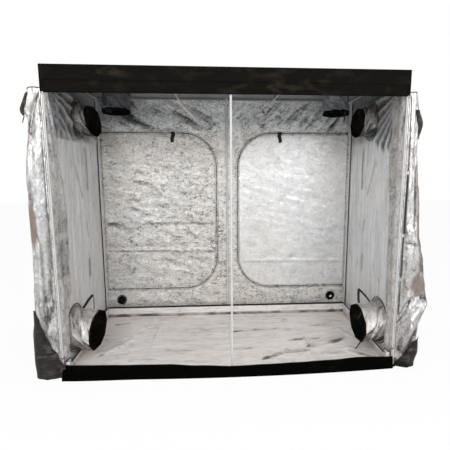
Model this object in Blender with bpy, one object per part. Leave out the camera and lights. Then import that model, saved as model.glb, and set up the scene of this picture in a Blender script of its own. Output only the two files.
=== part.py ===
"""Indoor grow tent: a steel pole frame inside a sewn canopy with a silver lining.

Metres, +Z up. The origin is on the underside of the floor cloth, below the middle of the frame.
The front faces -Y, and +X is on the right of someone who looks in from the front.
"""

import math

import bmesh
import bpy
from mathutils import Vector

# Overall sizes
WIDTH = 2.44
DEPTH = 1.22
HEIGHT = 2.13
CLOTH = 0.0015
GAP = 0.0003
OVERRUN = 0.01

# Poles and connectors
POLE_RADIUS = 0.008
POLE_WALL = 0.0009
HUB_OVER = 0.002
SPIGOT_LENGTH = 0.04
WALL_EASE = 0.001
ROOF_EASE = 0.001
ROUND_SIDES = 12

# Light-hanging bars, which clip over the front and back top beams
BAR_X = 0.45
CLIP_FIT = 0.0006
CLIP_WALL = 0.002
CLIP_WIDTH = 0.03
CLIP_HALF_ANGLE = math.radians(105)

# Front header band with its storm flap
HEADER_DROP = 0.165
FLAP_TOP_DROP = 0.093
FLAP_BOTTOM_DROP = 0.172
FLAP_PROUD = 0.004
FLAP_END_EASE = 0.02

# Front sill
SILL_CLOTH = 0.003
SILL_END_EASE = 0.02
SILL_MIDDLE_HEIGHT = 0.038
SILL_END_HEIGHT = 0.098
SILL_LEAN = 0.006
SILL_END_FOOT = 0.028
SILL_MIDDLE_FOOT = 0.078
SILL_STATIONS = 12

# Floor tray
TRAY_HEIGHT = 0.10
TRAY_LIP = 0.025
TRAY_DIP_HEIGHT = 0.05
TRAY_DIP_EASE = 0.01
TRAY_DIP_SLOPE = 0.03
TRAY_EASE = 0.003
TRAY_BACK_LEAN = 0.014
TRAY_SIDE_LEAN = 0.004

# Duct sleeves: a flange each side of the cloth, and a limp tube that hangs inside.
# Their sides are a multiple of four, so that each has a corner at its crown.
SLEEVE_CLOTH = 0.002
FLANGE_WIDTH = 0.010
FLANGE_THICKNESS = 0.003
PORT_FIT = 0.0008
HEM_LENGTH = 0.016
HEM_OVER = 0.0015
SLEEVE_SIDES = 20
LOWER_PORT_FROM_FRONT = 0.33
LOWER_PORT_Z = 0.245
LOWER_PORT_RADIUS = 0.175
LOWER_REACH = 0.175
LOWER_MOUTH_HALF_WIDTH = 0.19
LOWER_MOUTH_HALF_HEIGHT = 0.16
LOWER_MOUTH_SHIFT = 0.02
UPPER_PORT_FROM_BACK = 0.52
UPPER_PORT_DROP = 0.26
UPPER_PORT_RADIUS = 0.145
UPPER_REACH = 0.12
UPPER_MOUTH_HALF_WIDTH = 0.16
UPPER_MOUTH_HALF_HEIGHT = 0.13
UPPER_MOUTH_SHIFT = 0.015
ROOF_PORT_FROM_SIDE = 0.315
ROOF_PORT_FROM_BACK = 0.49
ROOF_PORT_RADIUS = 0.12
ROOF_REACH = 0.172
ROOF_MOUTH_HALF_WIDTH = 0.118
ROOF_MOUTH_HALF_HEIGHT = 0.108
CABLE_PORT_FROM_SIDE = 0.16
CABLE_PORT_Z = 0.175
CABLE_PORT_RADIUS = 0.038
CABLE_REACH = 0.028
CABLE_MOUTH_RADIUS = 0.030
CABLE_FLANGE_WIDTH = 0.007

# Webbing loop that stands on each low sleeve
LOOP_APEX_HEIGHT = 0.112
LOOP_BAND = 0.02
LOOP_THICKNESS = 0.002
LOOP_FRONT_FOOT = 0.136
LOOP_BACK_FOOT = 0.068
LOOP_APEX = 0.172

# D-shaped back doors
BACK_DOOR_SIDE = 0.03
BACK_DOOR_CENTRE_EDGE = 0.103
BACK_DOOR_DROP = 0.321
BACK_DOOR_BOTTOM = 0.287
BACK_DOOR_CORNER = 0.32
ZIP_GAP = 0.0008
CORNER_STEPS = 8
TIE_X = 0.51
TIE_WIDTH = 0.025
TIE_LENGTH = 0.10
TIE_THICKNESS = 0.003
TIE_OVER = 0.012
SLIDER_WIDTH = 0.013
SLIDER_DEPTH = 0.006
SLIDER_HEIGHT = 0.022
PULL_WIDTH = 0.008
PULL_THICKNESS = 0.002
PULL_LENGTH = 0.045

# Front doors, open and gathered beside the front corner posts
DOOR_CLOTH = 0.002
DOOR_DROP = 0.14
DOOR_BOTTOM = 0.03
DOOR_REACH = 0.175
FOLD_PITCH = 0.018
FOLD_INNER = 0.012
FOLD_LAYERS = 6
WAVE_DEPTH = 0.012
WAVES = 2.5
WAVE_STEPS = 14
TURN_STEPS = 3
LEFT_TOP_SLOPE = 0.12
LEFT_BOTTOM_SLOPE = 0.0
RIGHT_TOP_SLOPE = 0.14
RIGHT_BOTTOM_SLOPE = 0.09
SETTLE_START_SHARE = 0.5
SETTLE_END_SHARE = 0.25
MIDDLE_SHARE = 0.5
LEVEL_SHARES = (0.0, 0.06, 0.17, 0.28, 0.42, 0.58, 0.76, 0.93, 1.0)
LEFT_REACH_SHARES = (1.0, 0.98, 0.94, 0.88, 0.80, 0.74, 0.73, 0.72, 0.70)
RIGHT_REACH_SHARES = (1.04, 1.07, 1.09, 1.38, 0.98, 0.74, 0.54, 0.55, 0.48)
END_SLOPE_SHARES = (1.0, 0.7, 0.3, 0.0, 0.0, 0.0, 0.25, 0.75, 1.0)

# Stay cord from each low port's flange to the front corner post, right-hand side
CORD_RADIUS = 0.0025
CORD_STEPS = 2
CORD_ROUTE = (
    (1.2157, -0.44307, 0.16191),
    (1.2155, -0.45200, 0.15736),
    (1.2125, -0.47900, 0.14550),
    (1.2100, -0.51700, 0.13800),
    (1.2085, -0.55600, 0.13900),
    (1.2075, -0.57600, 0.14150),
    (1.2075, -0.58300, 0.14180),
    (1.2075, -0.58920, 0.14180),
)

# Derived sizes
HUB_HALF = POLE_RADIUS + HUB_OVER
CLIP_OUTER = POLE_RADIUS + CLIP_FIT + CLIP_WALL
SPIGOT_RADIUS = POLE_RADIUS - POLE_WALL - GAP
FRAME_X = WIDTH / 2 - CLOTH - WALL_EASE - HUB_HALF
FRAME_Y = DEPTH / 2 - CLOTH - WALL_EASE - HUB_HALF
BASE_Z = CLOTH + GAP + HUB_HALF
TOP_Z = HEIGHT - CLOTH - ROOF_EASE - max(HUB_HALF, CLIP_OUTER)
WALL_BOTTOM = CLOTH + GAP
WALL_TOP = HEIGHT - CLOTH - GAP
LOWER_PORT_Y = LOWER_PORT_FROM_FRONT - DEPTH / 2
UPPER_PORT_Y = DEPTH / 2 - UPPER_PORT_FROM_BACK
UPPER_PORT_Z = HEIGHT - UPPER_PORT_DROP
ROOF_PORT_X = WIDTH / 2 - ROOF_PORT_FROM_SIDE
ROOF_PORT_Y = DEPTH / 2 - ROOF_PORT_FROM_BACK
CABLE_PORT_X = WIDTH / 2 - CABLE_PORT_FROM_SIDE
BACK_DOOR_TOP = HEIGHT - BACK_DOOR_DROP
SLIDER_Z = (BACK_DOOR_TOP + BACK_DOOR_BOTTOM) / 2
DOOR_TOP = HEIGHT - DOOR_DROP
SIDES = (("left", -1), ("right", 1))
X, Y, Z = Vector((1, 0, 0)), Vector((0, 1, 0)), Vector((0, 0, 1))


def clear_scene():
    for item in list(bpy.data.objects):
        bpy.data.objects.remove(item)


def make_material(name, colour, roughness, metallic=0.0):
    material = bpy.data.materials.new(name)
    material.use_nodes = True
    shader = material.node_tree.nodes["Principled BSDF"]
    shader.inputs["Base Color"].default_value = (*colour, 1)
    shader.inputs["Roughness"].default_value = roughness
    shader.inputs["Metallic"].default_value = metallic
    return material


def make_materials():
    return {
        "lining": make_material("silver_lining", (0.62, 0.61, 0.60), 0.35, 0.6),
        "canvas": make_material("black_canvas", (0.014, 0.013, 0.012), 0.75),
        "steel": make_material("white_steel", (0.80, 0.80, 0.79), 0.4),
        "webbing": make_material("black_webbing", (0.010, 0.010, 0.010), 0.85),
        "slider": make_material("black_zip", (0.03, 0.03, 0.03), 0.45),
    }


def finish_mesh(bm, name):
    """The mesh of a bmesh, closed and facing out, with its round sides smooth."""
    bmesh.ops.recalc_face_normals(bm, faces=bm.faces)
    mesh = bpy.data.meshes.new(name)
    bm.to_mesh(mesh)
    bm.free()
    mesh.shade_smooth()
    mesh.set_sharp_from_angle(angle=math.radians(35))
    return mesh


def add_object(name, mesh, material, location=(0, 0, 0)):
    item = bpy.data.objects.new(name, mesh)
    item.location = location
    mesh.materials.append(material)
    bpy.context.scene.collection.objects.link(item)
    return item


def combined(item, tools, operation):
    """The item with each tool joined to it or cut from it; the tools are used up."""
    for tool in tools:
        boolean = item.modifiers.new("boolean", "BOOLEAN")
        boolean.operation = operation
        boolean.solver = "EXACT"
        boolean.object = tool
    bpy.context.view_layer.update()
    evaluated = item.evaluated_get(bpy.context.evaluated_depsgraph_get())
    mesh = bpy.data.meshes.new_from_object(evaluated)
    item.modifiers.clear()
    item.data = mesh
    for tool in tools:
        bpy.data.objects.remove(tool)
    return item


def edge_loop(bm, points):
    corners = [bm.verts.new(point) for point in points]
    return [bm.edges.new(pair) for pair in zip(corners, corners[1:] + corners[:1])]


def plate_mesh(name, loops, across, up, through):
    """A flat cut of cloth or strap: the first loop is its edge, the others are holes."""
    bm = bmesh.new()
    edges = []
    for loop in loops:
        edges += edge_loop(bm, [across * a + up * b for a, b in loop])
    bmesh.ops.triangle_fill(bm, use_beauty=True, edges=edges)
    grown = bmesh.ops.extrude_face_region(bm, geom=list(bm.faces))
    moved = [v for v in grown["geom"] if isinstance(v, bmesh.types.BMVert)]
    bmesh.ops.translate(bm, verts=moved, vec=through)
    return finish_mesh(bm, name)


def lofted_mesh(name, loops, ring=False):
    """A skin through loops of points, closed on itself as a ring or with a cap at each end.

    Its quads are cut along their short diagonals, so that the two faces of a thin wall match.
    """
    count = len(loops[0])
    rows = len(loops) if ring else len(loops) - 1
    bm = bmesh.new()
    bmesh.ops.create_grid(bm, x_segments=count, y_segments=rows, size=0.5)
    for vert in bm.verts:
        i = round((vert.co.x + 0.5) * count) % count
        j = round((vert.co.y + 0.5) * rows) % len(loops)
        vert.co = loops[j][i]
    bmesh.ops.remove_doubles(bm, verts=bm.verts, dist=GAP / 10)
    bmesh.ops.triangulate(bm, faces=bm.faces, quad_method="SHORT_EDGE")
    if not ring:
        bmesh.ops.holes_fill(bm, edges=bm.edges)
    return finish_mesh(bm, name)


def box_loop(low, high):
    return [(low[0], low[1]), (high[0], low[1]), (high[0], high[1]), (low[0], high[1])]


def circle_loop(centre, radius, sides):
    turn = 2 * math.pi / sides
    return [
        (centre[0] + radius * math.cos(i * turn), centre[1] + radius * math.sin(i * turn))
        for i in range(sides)
    ]


def arc(centre, radius, start, end, steps):
    return [
        (
            centre[0] + radius * math.cos(start + (end - start) * i / steps),
            centre[1] + radius * math.sin(start + (end - start) * i / steps),
        )
        for i in range(steps + 1)
    ]


def turned_tube_mesh(name, outer, inner, length):
    """A tube along +Z from its origin, turned from its wall's section."""
    bm = bmesh.new()
    section = edge_loop(bm, [(outer, 0, 0), (outer, 0, length), (inner, 0, length), (inner, 0, 0)])
    bmesh.ops.spin(
        bm,
        geom=section,
        axis=Z,
        cent=(0, 0, 0),
        angle=2 * math.pi,
        steps=ROUND_SIDES,
        use_merge=True,
    )
    return finish_mesh(bm, name)


def rod_mesh(name, radius, length):
    """A solid round rod along +Z from its origin."""
    bm = bmesh.new()
    bmesh.ops.create_circle(bm, cap_ends=True, radius=radius, segments=ROUND_SIDES)
    grown = bmesh.ops.extrude_face_region(bm, geom=list(bm.faces))
    moved = [v for v in grown["geom"] if isinstance(v, bmesh.types.BMVert)]
    bmesh.ops.translate(bm, verts=moved, vec=Z * length)
    return finish_mesh(bm, name)


def box_mesh(name, size, centre=(0, 0, 0)):
    bm = bmesh.new()
    bmesh.ops.create_cube(bm, size=1)
    bmesh.ops.scale(bm, verts=bm.verts, vec=size)
    bmesh.ops.translate(bm, verts=bm.verts, vec=centre)
    return finish_mesh(bm, name)


def pointed(item, direction):
    """Turns an item that runs along +Z so that it runs along a direction."""
    item.rotation_euler = Z.rotation_difference(Vector(direction)).to_euler()
    return item


def add_pole(name, start, end, material):
    """A hollow pole between two hubs, which stops a gap short of each."""
    run = Vector(end) - Vector(start)
    way = run.normalized()
    length = run.length - 2 * (HUB_HALF + GAP)
    mesh = turned_tube_mesh(name, POLE_RADIUS, POLE_RADIUS - POLE_WALL, length)
    item = add_object(name, mesh, material, Vector(start) + way * (HUB_HALF + GAP))
    return pointed(item, way)


def add_connector(name, place, ways, material):
    """A square hub with a spigot for each pole that it carries."""
    bm = bmesh.new()
    bmesh.ops.create_cube(bm, size=2 * HUB_HALF)
    bmesh.ops.bevel(
        bm,
        geom=bm.edges,
        offset=HUB_OVER / 2,
        segments=1,
        profile=0.5,
        affect="EDGES",
        material=-1,
    )
    hub = add_object(name, finish_mesh(bm, name), material, place)
    spigots = []
    for i, way in enumerate(ways):
        mesh = rod_mesh(f"{name}_spigot_{i}", SPIGOT_RADIUS, HUB_HALF / 2 + SPIGOT_LENGTH)
        spigot = add_object(mesh.name, mesh, material, Vector(place) + Vector(way) * HUB_HALF / 2)
        spigots.append(pointed(spigot, way))
    return combined(hub, spigots, "UNION")


def add_frame(steel):
    """Posts, beams and connectors, top and base."""
    rows = (("front", -1), ("back", 1))
    levels = (("base", BASE_Z, 1), ("top", TOP_Z, -1))
    for row, back in rows:
        y = back * FRAME_Y
        for side, out in SIDES:
            x = out * FRAME_X
            add_pole(f"corner_post_{row}_{side}", (x, y, BASE_Z), (x, y, TOP_Z), steel)
            for level, z, inward in levels:
                ways = ((-out, 0, 0), (0, -back, 0), (0, 0, inward))
                add_connector(f"corner_connector_{level}_{row}_{side}", (x, y, z), ways, steel)
                add_pole(f"{level}_beam_{row}_{side}", (0, y, z), (x, y, z), steel)
        add_pole(f"centre_post_{row}", (0, y, BASE_Z), (0, y, TOP_Z), steel)
        for level, z, inward in levels:
            ways = ((-1, 0, 0), (1, 0, 0), (0, 0, inward))
            add_connector(f"tee_connector_{level}_{row}", (0, y, z), ways, steel)
    for side, out in SIDES:
        for level, z, _ in levels:
            x = out * FRAME_X
            add_pole(f"{level}_beam_side_{side}", (x, -FRAME_Y, z), (x, FRAME_Y, z), steel)


def clip_loop(back):
    """A hook's section in the YZ plane round a beam, open towards the canopy."""
    middle = 0 if back < 0 else math.pi
    start, end = middle - CLIP_HALF_ANGLE, middle + CLIP_HALF_ANGLE
    outer = arc((back * FRAME_Y, TOP_Z), CLIP_OUTER, start, end, ROUND_SIDES)
    inner = arc((back * FRAME_Y, TOP_Z), POLE_RADIUS + CLIP_FIT, end, start, ROUND_SIDES)
    return outer + inner


def add_roof_bar(name, x, steel):
    """A hollow bar whose hooked ends snap onto the front and back beams."""
    half = FRAME_Y - POLE_RADIUS - CLIP_FIT - CLIP_WALL / 2
    bar = add_object(name, rod_mesh(name, POLE_RADIUS, 2 * half), steel, (x, -half, TOP_Z))
    pointed(bar, Y)
    hooks = []
    for back in (-1, 1):
        mesh = plate_mesh(f"{name}_hook_{back}", [clip_loop(back)], Y, Z, X * CLIP_WIDTH)
        hooks.append(add_object(mesh.name, mesh, steel, (x - CLIP_WIDTH / 2, 0, 0)))
    combined(bar, hooks, "UNION")
    length = 2 * (half + OVERRUN)
    bore_mesh = rod_mesh(f"{name}_bore", POLE_RADIUS - POLE_WALL, length)
    bore = add_object(bore_mesh.name, bore_mesh, steel, (x, -length / 2, TOP_Z))
    return combined(bar, [pointed(bore, Y)], "DIFFERENCE")


def door_loop(out, ease):
    """A D-shaped door in the XZ plane, rounded on its centre side, grown or shrunk by ease."""
    hinge = WIDTH / 2 - BACK_DOOR_SIDE
    edge = BACK_DOOR_CENTRE_EDGE + ease
    top, bottom = BACK_DOOR_TOP - ease, BACK_DOOR_BOTTOM + ease
    radius = BACK_DOOR_CORNER - ease
    quarter = math.pi / 2
    upper = arc((edge + radius, top - radius), radius, quarter, 2 * quarter, CORNER_STEPS)
    lower = arc((edge + radius, bottom + radius), radius, 2 * quarter, 3 * quarter, CORNER_STEPS)
    points = [(hinge, top)] + upper + lower + [(hinge, bottom)]
    return [(out * x, z) for x, z in points]


def add_walls(lining):
    """Side walls with two duct holes each, and the back wall with its doors' and cables' holes."""
    half_depth, half_width = DEPTH / 2, WIDTH / 2
    for side, out in SIDES:
        outline = box_loop((-half_depth, WALL_BOTTOM), (half_depth, WALL_TOP))
        ports = (
            (LOWER_PORT_Y, LOWER_PORT_Z, LOWER_PORT_RADIUS),
            (UPPER_PORT_Y, UPPER_PORT_Z, UPPER_PORT_RADIUS),
        )
        holes = [circle_loop((y, z), r + PORT_FIT, SLEEVE_SIDES) for y, z, r in ports]
        mesh = plate_mesh(f"wall_{side}", [outline] + holes, Y, Z, X * -out * CLOTH)
        add_object(f"wall_{side}", mesh, lining, (out * half_width, 0, 0))
    edge = half_width - CLOTH - GAP
    loops = [box_loop((-edge, WALL_BOTTOM), (edge, WALL_TOP))]
    for _, out in SIDES:
        loops.append(door_loop(out, 0))
        centre = (out * CABLE_PORT_X, CABLE_PORT_Z)
        loops.append(circle_loop(centre, CABLE_PORT_RADIUS + PORT_FIT, SLEEVE_SIDES))
    mesh = plate_mesh("wall_back", loops, X, Z, Y * -CLOTH)
    add_object("wall_back", mesh, lining, (0, half_depth, 0))


def add_roof_and_floor(lining, canvas):
    """The roof cloth with two duct holes, and the floor cloth."""
    outline = box_loop((-WIDTH / 2, -DEPTH / 2), (WIDTH / 2, DEPTH / 2))
    holes = [
        circle_loop((out * ROOF_PORT_X, ROOF_PORT_Y), ROOF_PORT_RADIUS + PORT_FIT, SLEEVE_SIDES)
        for _, out in SIDES
    ]
    roof = plate_mesh("roof_panel", [outline] + holes, X, Y, Z * -CLOTH)
    add_object("roof_panel", roof, lining, (0, 0, HEIGHT))
    floor = plate_mesh("floor_panel", [outline], X, Y, Z * CLOTH)
    add_object("floor_panel", floor, canvas)


def add_header(canvas):
    """The band over the door opening, with the storm flap that stands proud of it."""
    half = WIDTH / 2 - CLOTH - GAP
    flap_half = WIDTH / 2 - FLAP_END_EASE
    mesh = box_mesh("front_header", (2 * half, CLOTH, HEADER_DROP - (HEIGHT - WALL_TOP)))
    centre = (0, -DEPTH / 2 + CLOTH / 2, (HEIGHT - HEADER_DROP + WALL_TOP) / 2)
    band = add_object("front_header", mesh, canvas, centre)
    flap_height = FLAP_BOTTOM_DROP - FLAP_TOP_DROP
    flap_mesh = box_mesh("storm_flap", (2 * flap_half, FLAP_PROUD + CLOTH / 2, flap_height))
    flap_z = HEIGHT - (FLAP_TOP_DROP + FLAP_BOTTOM_DROP) / 2
    flap_y = -DEPTH / 2 - (FLAP_PROUD - CLOTH / 2) / 2
    flap = add_object("storm_flap", flap_mesh, canvas, (0, flap_y, flap_z))
    combined(band, [flap], "UNION")


def sill_section(x, half):
    """One section of the sill: a return along the ground, then a leaning front."""
    bow = 1 - (x / half) ** 2
    top = SILL_END_HEIGHT - (SILL_END_HEIGHT - SILL_MIDDLE_HEIGHT) * bow
    foot = -DEPTH / 2 - SILL_END_FOOT - (SILL_MIDDLE_FOOT - SILL_END_FOOT) * bow
    back = -DEPTH / 2 - GAP
    lean = -DEPTH / 2 - SILL_LEAN
    return [
        Vector((x, back, 0)),
        Vector((x, foot, 0)),
        Vector((x, foot, CLOTH)),
        Vector((x, lean, top)),
        Vector((x, lean + SILL_CLOTH, top)),
        Vector((x, foot + 2 * SILL_CLOTH, CLOTH)),
        Vector((x, back, CLOTH)),
    ]


def add_sill(canvas):
    half = WIDTH / 2 - SILL_END_EASE
    xs = [half * (2 * i / SILL_STATIONS - 1) for i in range(SILL_STATIONS + 1)]
    mesh = lofted_mesh("front_sill", [sill_section(x, half) for x in xs])
    add_object("front_sill", mesh, canvas)


def tray_outline(inset):
    """The tray's plan, with a point wherever its top edge changes height."""
    half_x = FRAME_X - HUB_HALF - TRAY_EASE - inset
    half_y = FRAME_Y - HUB_HALF - TRAY_EASE - inset
    ring = LOWER_PORT_RADIUS + FLANGE_WIDTH + TRAY_DIP_EASE
    low, high = LOWER_PORT_Y - ring, LOWER_PORT_Y + ring
    lip_x = half_x - TRAY_DIP_SLOPE
    dips = [
        (low - TRAY_DIP_SLOPE, TRAY_HEIGHT),
        (low, TRAY_DIP_HEIGHT),
        (high, TRAY_DIP_HEIGHT),
        (high + TRAY_DIP_SLOPE, TRAY_HEIGHT),
    ]
    front = [(-lip_x, TRAY_LIP), (lip_x, TRAY_LIP)]
    points = [(x, -half_y, top) for x, top in front]
    points += [(half_x, -half_y, TRAY_HEIGHT)]
    points += [(half_x, y, top) for y, top in dips]
    points += [(half_x, half_y, TRAY_HEIGHT), (-half_x, half_y, TRAY_HEIGHT)]
    points += [(-half_x, y, top) for y, top in reversed(dips)]
    points += [(-half_x, -half_y, TRAY_HEIGHT)]
    return points


def tray_loop(inset, share, floor):
    """The tray's plan at the floor, share 0, or at its top edge, share 1, where it leans in."""
    points = []
    for x, y, top in tray_outline(inset):
        lean_x = TRAY_SIDE_LEAN * share * x / abs(x)
        lean_y = TRAY_BACK_LEAN * share if y > 0 else 0
        points.append(Vector((x - lean_x, y - lean_y, floor + (top - floor) * share)))
    return points


def add_tray(lining):
    floor = CLOTH + GAP
    loops = [
        tray_loop(0, 0, floor),
        tray_loop(0, 1, floor),
        tray_loop(CLOTH, 1, floor),
        tray_loop(CLOTH, 0, floor + CLOTH),
    ]
    add_object("floor_tray", lofted_mesh("floor_tray", loops), lining)


def sleeve_stations(radius, flange, reach, mouth, shift):
    """Along a sleeve: distance into the tent, half width, half height, and sag of its centre."""
    inner = CLOTH + GAP + FLANGE_THICKNESS
    outer_end = -GAP - FLANGE_THICKNESS
    wide, high = mouth
    hem = (reach - HEM_LENGTH - inner) / (reach - inner)
    hem_wide = radius + (wide - radius) * hem
    hem_high = radius + (high - radius) * hem
    wall = SLEEVE_CLOTH
    return [
        (outer_end, radius - wall, radius - wall, 0),
        (outer_end, radius + flange, radius + flange, 0),
        (-GAP, radius + flange, radius + flange, 0),
        (-GAP, radius, radius, 0),
        (CLOTH + GAP, radius, radius, 0),
        (CLOTH + GAP, radius + flange, radius + flange, 0),
        (inner, radius + flange, radius + flange, 0),
        (inner, radius, radius, 0),
        (reach - HEM_LENGTH, hem_wide, hem_high, shift * hem),
        (reach - HEM_LENGTH, hem_wide + HEM_OVER, hem_high + HEM_OVER, shift * hem),
        (reach, wide + HEM_OVER, high + HEM_OVER, shift),
        (reach, wide - wall, high - wall, shift),
        (inner, radius - wall, radius - wall, 0),
    ]


def add_sleeve(name, place, axes, stations, material):
    """A sleeve through the cloth. Axes are inward, across and up; the centre sags against up."""
    inward, across, up = axes
    loops = []
    for along, wide, high, sag in stations:
        ring = circle_loop((0, 0), 1, SLEEVE_SIDES)
        centre = inward * along - up * sag
        loops.append([centre + across * (wide * a) + up * (high * b) for a, b in ring])
    return add_object(name, lofted_mesh(name, loops, ring=True), material, place)


def add_sleeves(lining, canvas):
    half_width, half_depth = WIDTH / 2, DEPTH / 2
    lower = sleeve_stations(
        LOWER_PORT_RADIUS,
        FLANGE_WIDTH,
        LOWER_REACH,
        (LOWER_MOUTH_HALF_WIDTH, LOWER_MOUTH_HALF_HEIGHT),
        LOWER_MOUTH_SHIFT,
    )
    upper = sleeve_stations(
        UPPER_PORT_RADIUS,
        FLANGE_WIDTH,
        UPPER_REACH,
        (UPPER_MOUTH_HALF_WIDTH, UPPER_MOUTH_HALF_HEIGHT),
        UPPER_MOUTH_SHIFT,
    )
    roof = sleeve_stations(
        ROOF_PORT_RADIUS,
        FLANGE_WIDTH,
        ROOF_REACH,
        (ROOF_MOUTH_HALF_WIDTH, ROOF_MOUTH_HALF_HEIGHT),
        0,
    )
    cable = sleeve_stations(
        CABLE_PORT_RADIUS,
        CABLE_FLANGE_WIDTH,
        CABLE_REACH,
        (CABLE_MOUTH_RADIUS, CABLE_MOUTH_RADIUS),
        0,
    )
    for side, out in SIDES:
        into = (X * -out, Y, Z)
        wall = out * half_width
        place = (wall, LOWER_PORT_Y, LOWER_PORT_Z)
        add_sleeve(f"duct_sleeve_lower_{side}", place, into, lower, lining)
        place = (wall, UPPER_PORT_Y, UPPER_PORT_Z)
        add_sleeve(f"duct_sleeve_upper_{side}", place, into, upper, lining)
        place = (out * ROOF_PORT_X, ROOF_PORT_Y, HEIGHT)
        add_sleeve(f"duct_sleeve_roof_{side}", place, (-Z, X, Y), roof, lining)
        place = (out * CABLE_PORT_X, half_depth, CABLE_PORT_Z)
        add_sleeve(f"cable_port_{side}", place, (-Y, X, Z), cable, canvas)


def sleeve_crown(along):
    """The height of a low sleeve's top line at a distance into the tent."""
    start = CLOTH + GAP + FLANGE_THICKNESS
    share = (along - start) / (LOWER_REACH - start)
    fall = (LOWER_PORT_RADIUS + LOWER_MOUTH_SHIFT - LOWER_MOUTH_HALF_HEIGHT) * share
    return LOWER_PORT_Z + LOWER_PORT_RADIUS - fall + GAP


def add_loops(webbing):
    """A strap bent to a peak over each low sleeve, sewn down at its two feet."""
    feet = [LOOP_BACK_FOOT, LOOP_BACK_FOOT + LOOP_BAND, LOOP_FRONT_FOOT, LOOP_FRONT_FOOT + LOOP_BAND]
    back_out, back_in, front_in, front_out = [(along, sleeve_crown(along)) for along in feet]
    peak = sleeve_crown(LOOP_FRONT_FOOT) + LOOP_APEX_HEIGHT
    apex_out = (LOOP_APEX, peak)
    apex_in = (LOOP_APEX - LOOP_BAND / 2, peak - 2 * LOOP_BAND)
    outline = [back_out, back_in, apex_in, front_in, front_out, apex_out]
    for side, out in SIDES:
        name = f"webbing_loop_{side}"
        loop = [(-out * along, z) for along, z in outline]
        mesh = plate_mesh(name, [loop], X, Z, Y * LOOP_THICKNESS)
        place = (out * WIDTH / 2, LOWER_PORT_Y - LOOP_THICKNESS / 2, 0)
        add_object(name, mesh, webbing, place)


def add_back_doors(lining):
    """The doors fill their holes; each turns on its sewn side at the wall's outer face."""
    hinge = WIDTH / 2 - BACK_DOOR_SIDE
    for side, out in SIDES:
        name = f"back_door_{side}"
        loop = [(x - out * hinge, z) for x, z in door_loop(out, ZIP_GAP)]
        sewn = -out * GAP
        loop = [(sewn if abs(x) < GAP else x, z) for x, z in loop]
        mesh = plate_mesh(name, [loop], X, Z, Y * -CLOTH)
        add_object(name, mesh, lining, (out * hinge, DEPTH / 2, 0))


def add_ties_and_sliders(webbing, zip_metal):
    inner_face = DEPTH / 2 - CLOTH - GAP
    for side, out in SIDES:
        name = f"door_tie_{side}"
        mesh = box_mesh(name, (TIE_WIDTH, TIE_THICKNESS, TIE_LENGTH))
        middle = BACK_DOOR_TOP + TIE_OVER - TIE_LENGTH / 2
        add_object(name, mesh, webbing, (out * TIE_X, inner_face - TIE_THICKNESS / 2, middle))
        name = f"zip_slider_{side}"
        mesh = box_mesh(name, (SLIDER_WIDTH, SLIDER_DEPTH, SLIDER_HEIGHT))
        place = (out * BACK_DOOR_CENTRE_EDGE, inner_face - SLIDER_DEPTH / 2, SLIDER_Z)
        slider = add_object(name, mesh, zip_metal, place)
        drop = (PULL_LENGTH - SLIDER_HEIGHT / 2) / 2
        front = PULL_THICKNESS / 2 - SLIDER_DEPTH / 2
        pull_mesh = box_mesh("pull", (PULL_WIDTH, PULL_THICKNESS, PULL_LENGTH), (0, front, -drop))
        pull = add_object("pull", pull_mesh, zip_metal, place)
        combined(slider, [pull], "UNION")


def gathered_path(reach):
    """A gathered door's centre line in plan: out along the front in waves, then to and fro."""
    turn = FOLD_PITCH / 2
    end = reach - turn
    path = []
    for i in range(WAVE_STEPS + 1):
        share = i / WAVE_STEPS
        settle = min(1, share / SETTLE_START_SHARE) * min(1, (1 - share) / SETTLE_END_SHARE)
        path.append((share * end, -WAVE_DEPTH * settle * math.sin(2 * math.pi * WAVES * share)))
    for layer in range(1, FOLD_LAYERS):
        outward = layer % 2 == 1
        centre = (end if outward else FOLD_INNER + turn, (layer - 0.5) * FOLD_PITCH)
        swing = 1 if outward else -1
        for i in range(1, TURN_STEPS + 1):
            angle = -math.pi / 2 + swing * math.pi * i / (TURN_STEPS + 1)
            path.append((centre[0] + turn * math.cos(angle), centre[1] + turn * math.sin(angle)))
        near, far = (end, FOLD_INNER + turn) if outward else (FOLD_INNER + turn, end)
        path += [(near, layer * FOLD_PITCH), ((near + far) / 2, layer * FOLD_PITCH)]
    return path


def cloth_outline(path, half):
    """The outline of a thin cloth along a centre line, out on one side and back on the other."""
    sides = ([], [])
    for i, point in enumerate(path):
        before, after = path[max(i - 1, 0)], path[min(i + 1, len(path) - 1)]
        run = Vector((after[0] - before[0], after[1] - before[1])).normalized()
        sides[0].append((point[0] - run.y * half, point[1] + run.x * half))
        sides[1].append((point[0] + run.y * half, point[1] - run.x * half))
    return sides[0] + sides[1][::-1]


def add_front_door(name, out, reaches, slopes, lining):
    """A door that hangs in folds from its sewn edge, in front of the side wall's front edge."""
    top_slope, bottom_slope = slopes
    loops = []
    for level, reach, slope in zip(LEVEL_SHARES, reaches, END_SLOPE_SHARES):
        height = DOOR_BOTTOM + (DOOR_TOP - DOOR_BOTTOM) * level
        fall = -top_slope if level > MIDDLE_SHARE else bottom_slope
        loop = []
        for u, v in cloth_outline(gathered_path(reach * DOOR_REACH), DOOR_CLOTH / 2):
            share = max(0, u / DOOR_REACH)
            loop.append(Vector((out * u, v, height + fall * slope * share)))
        loops.append(loop)
    place = (out * (WIDTH - CLOTH) / 2, -DEPTH / 2 - GAP - DOOR_CLOTH / 2, 0)
    add_object(name, lofted_mesh(name, loops), lining, place)


def add_front_doors(lining):
    left = (LEFT_TOP_SLOPE, LEFT_BOTTOM_SLOPE)
    right = (RIGHT_TOP_SLOPE, RIGHT_BOTTOM_SLOPE)
    add_front_door("front_door_left", -1, LEFT_REACH_SHARES, left, lining)
    add_front_door("front_door_right", 1, RIGHT_REACH_SHARES, right, lining)


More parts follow.
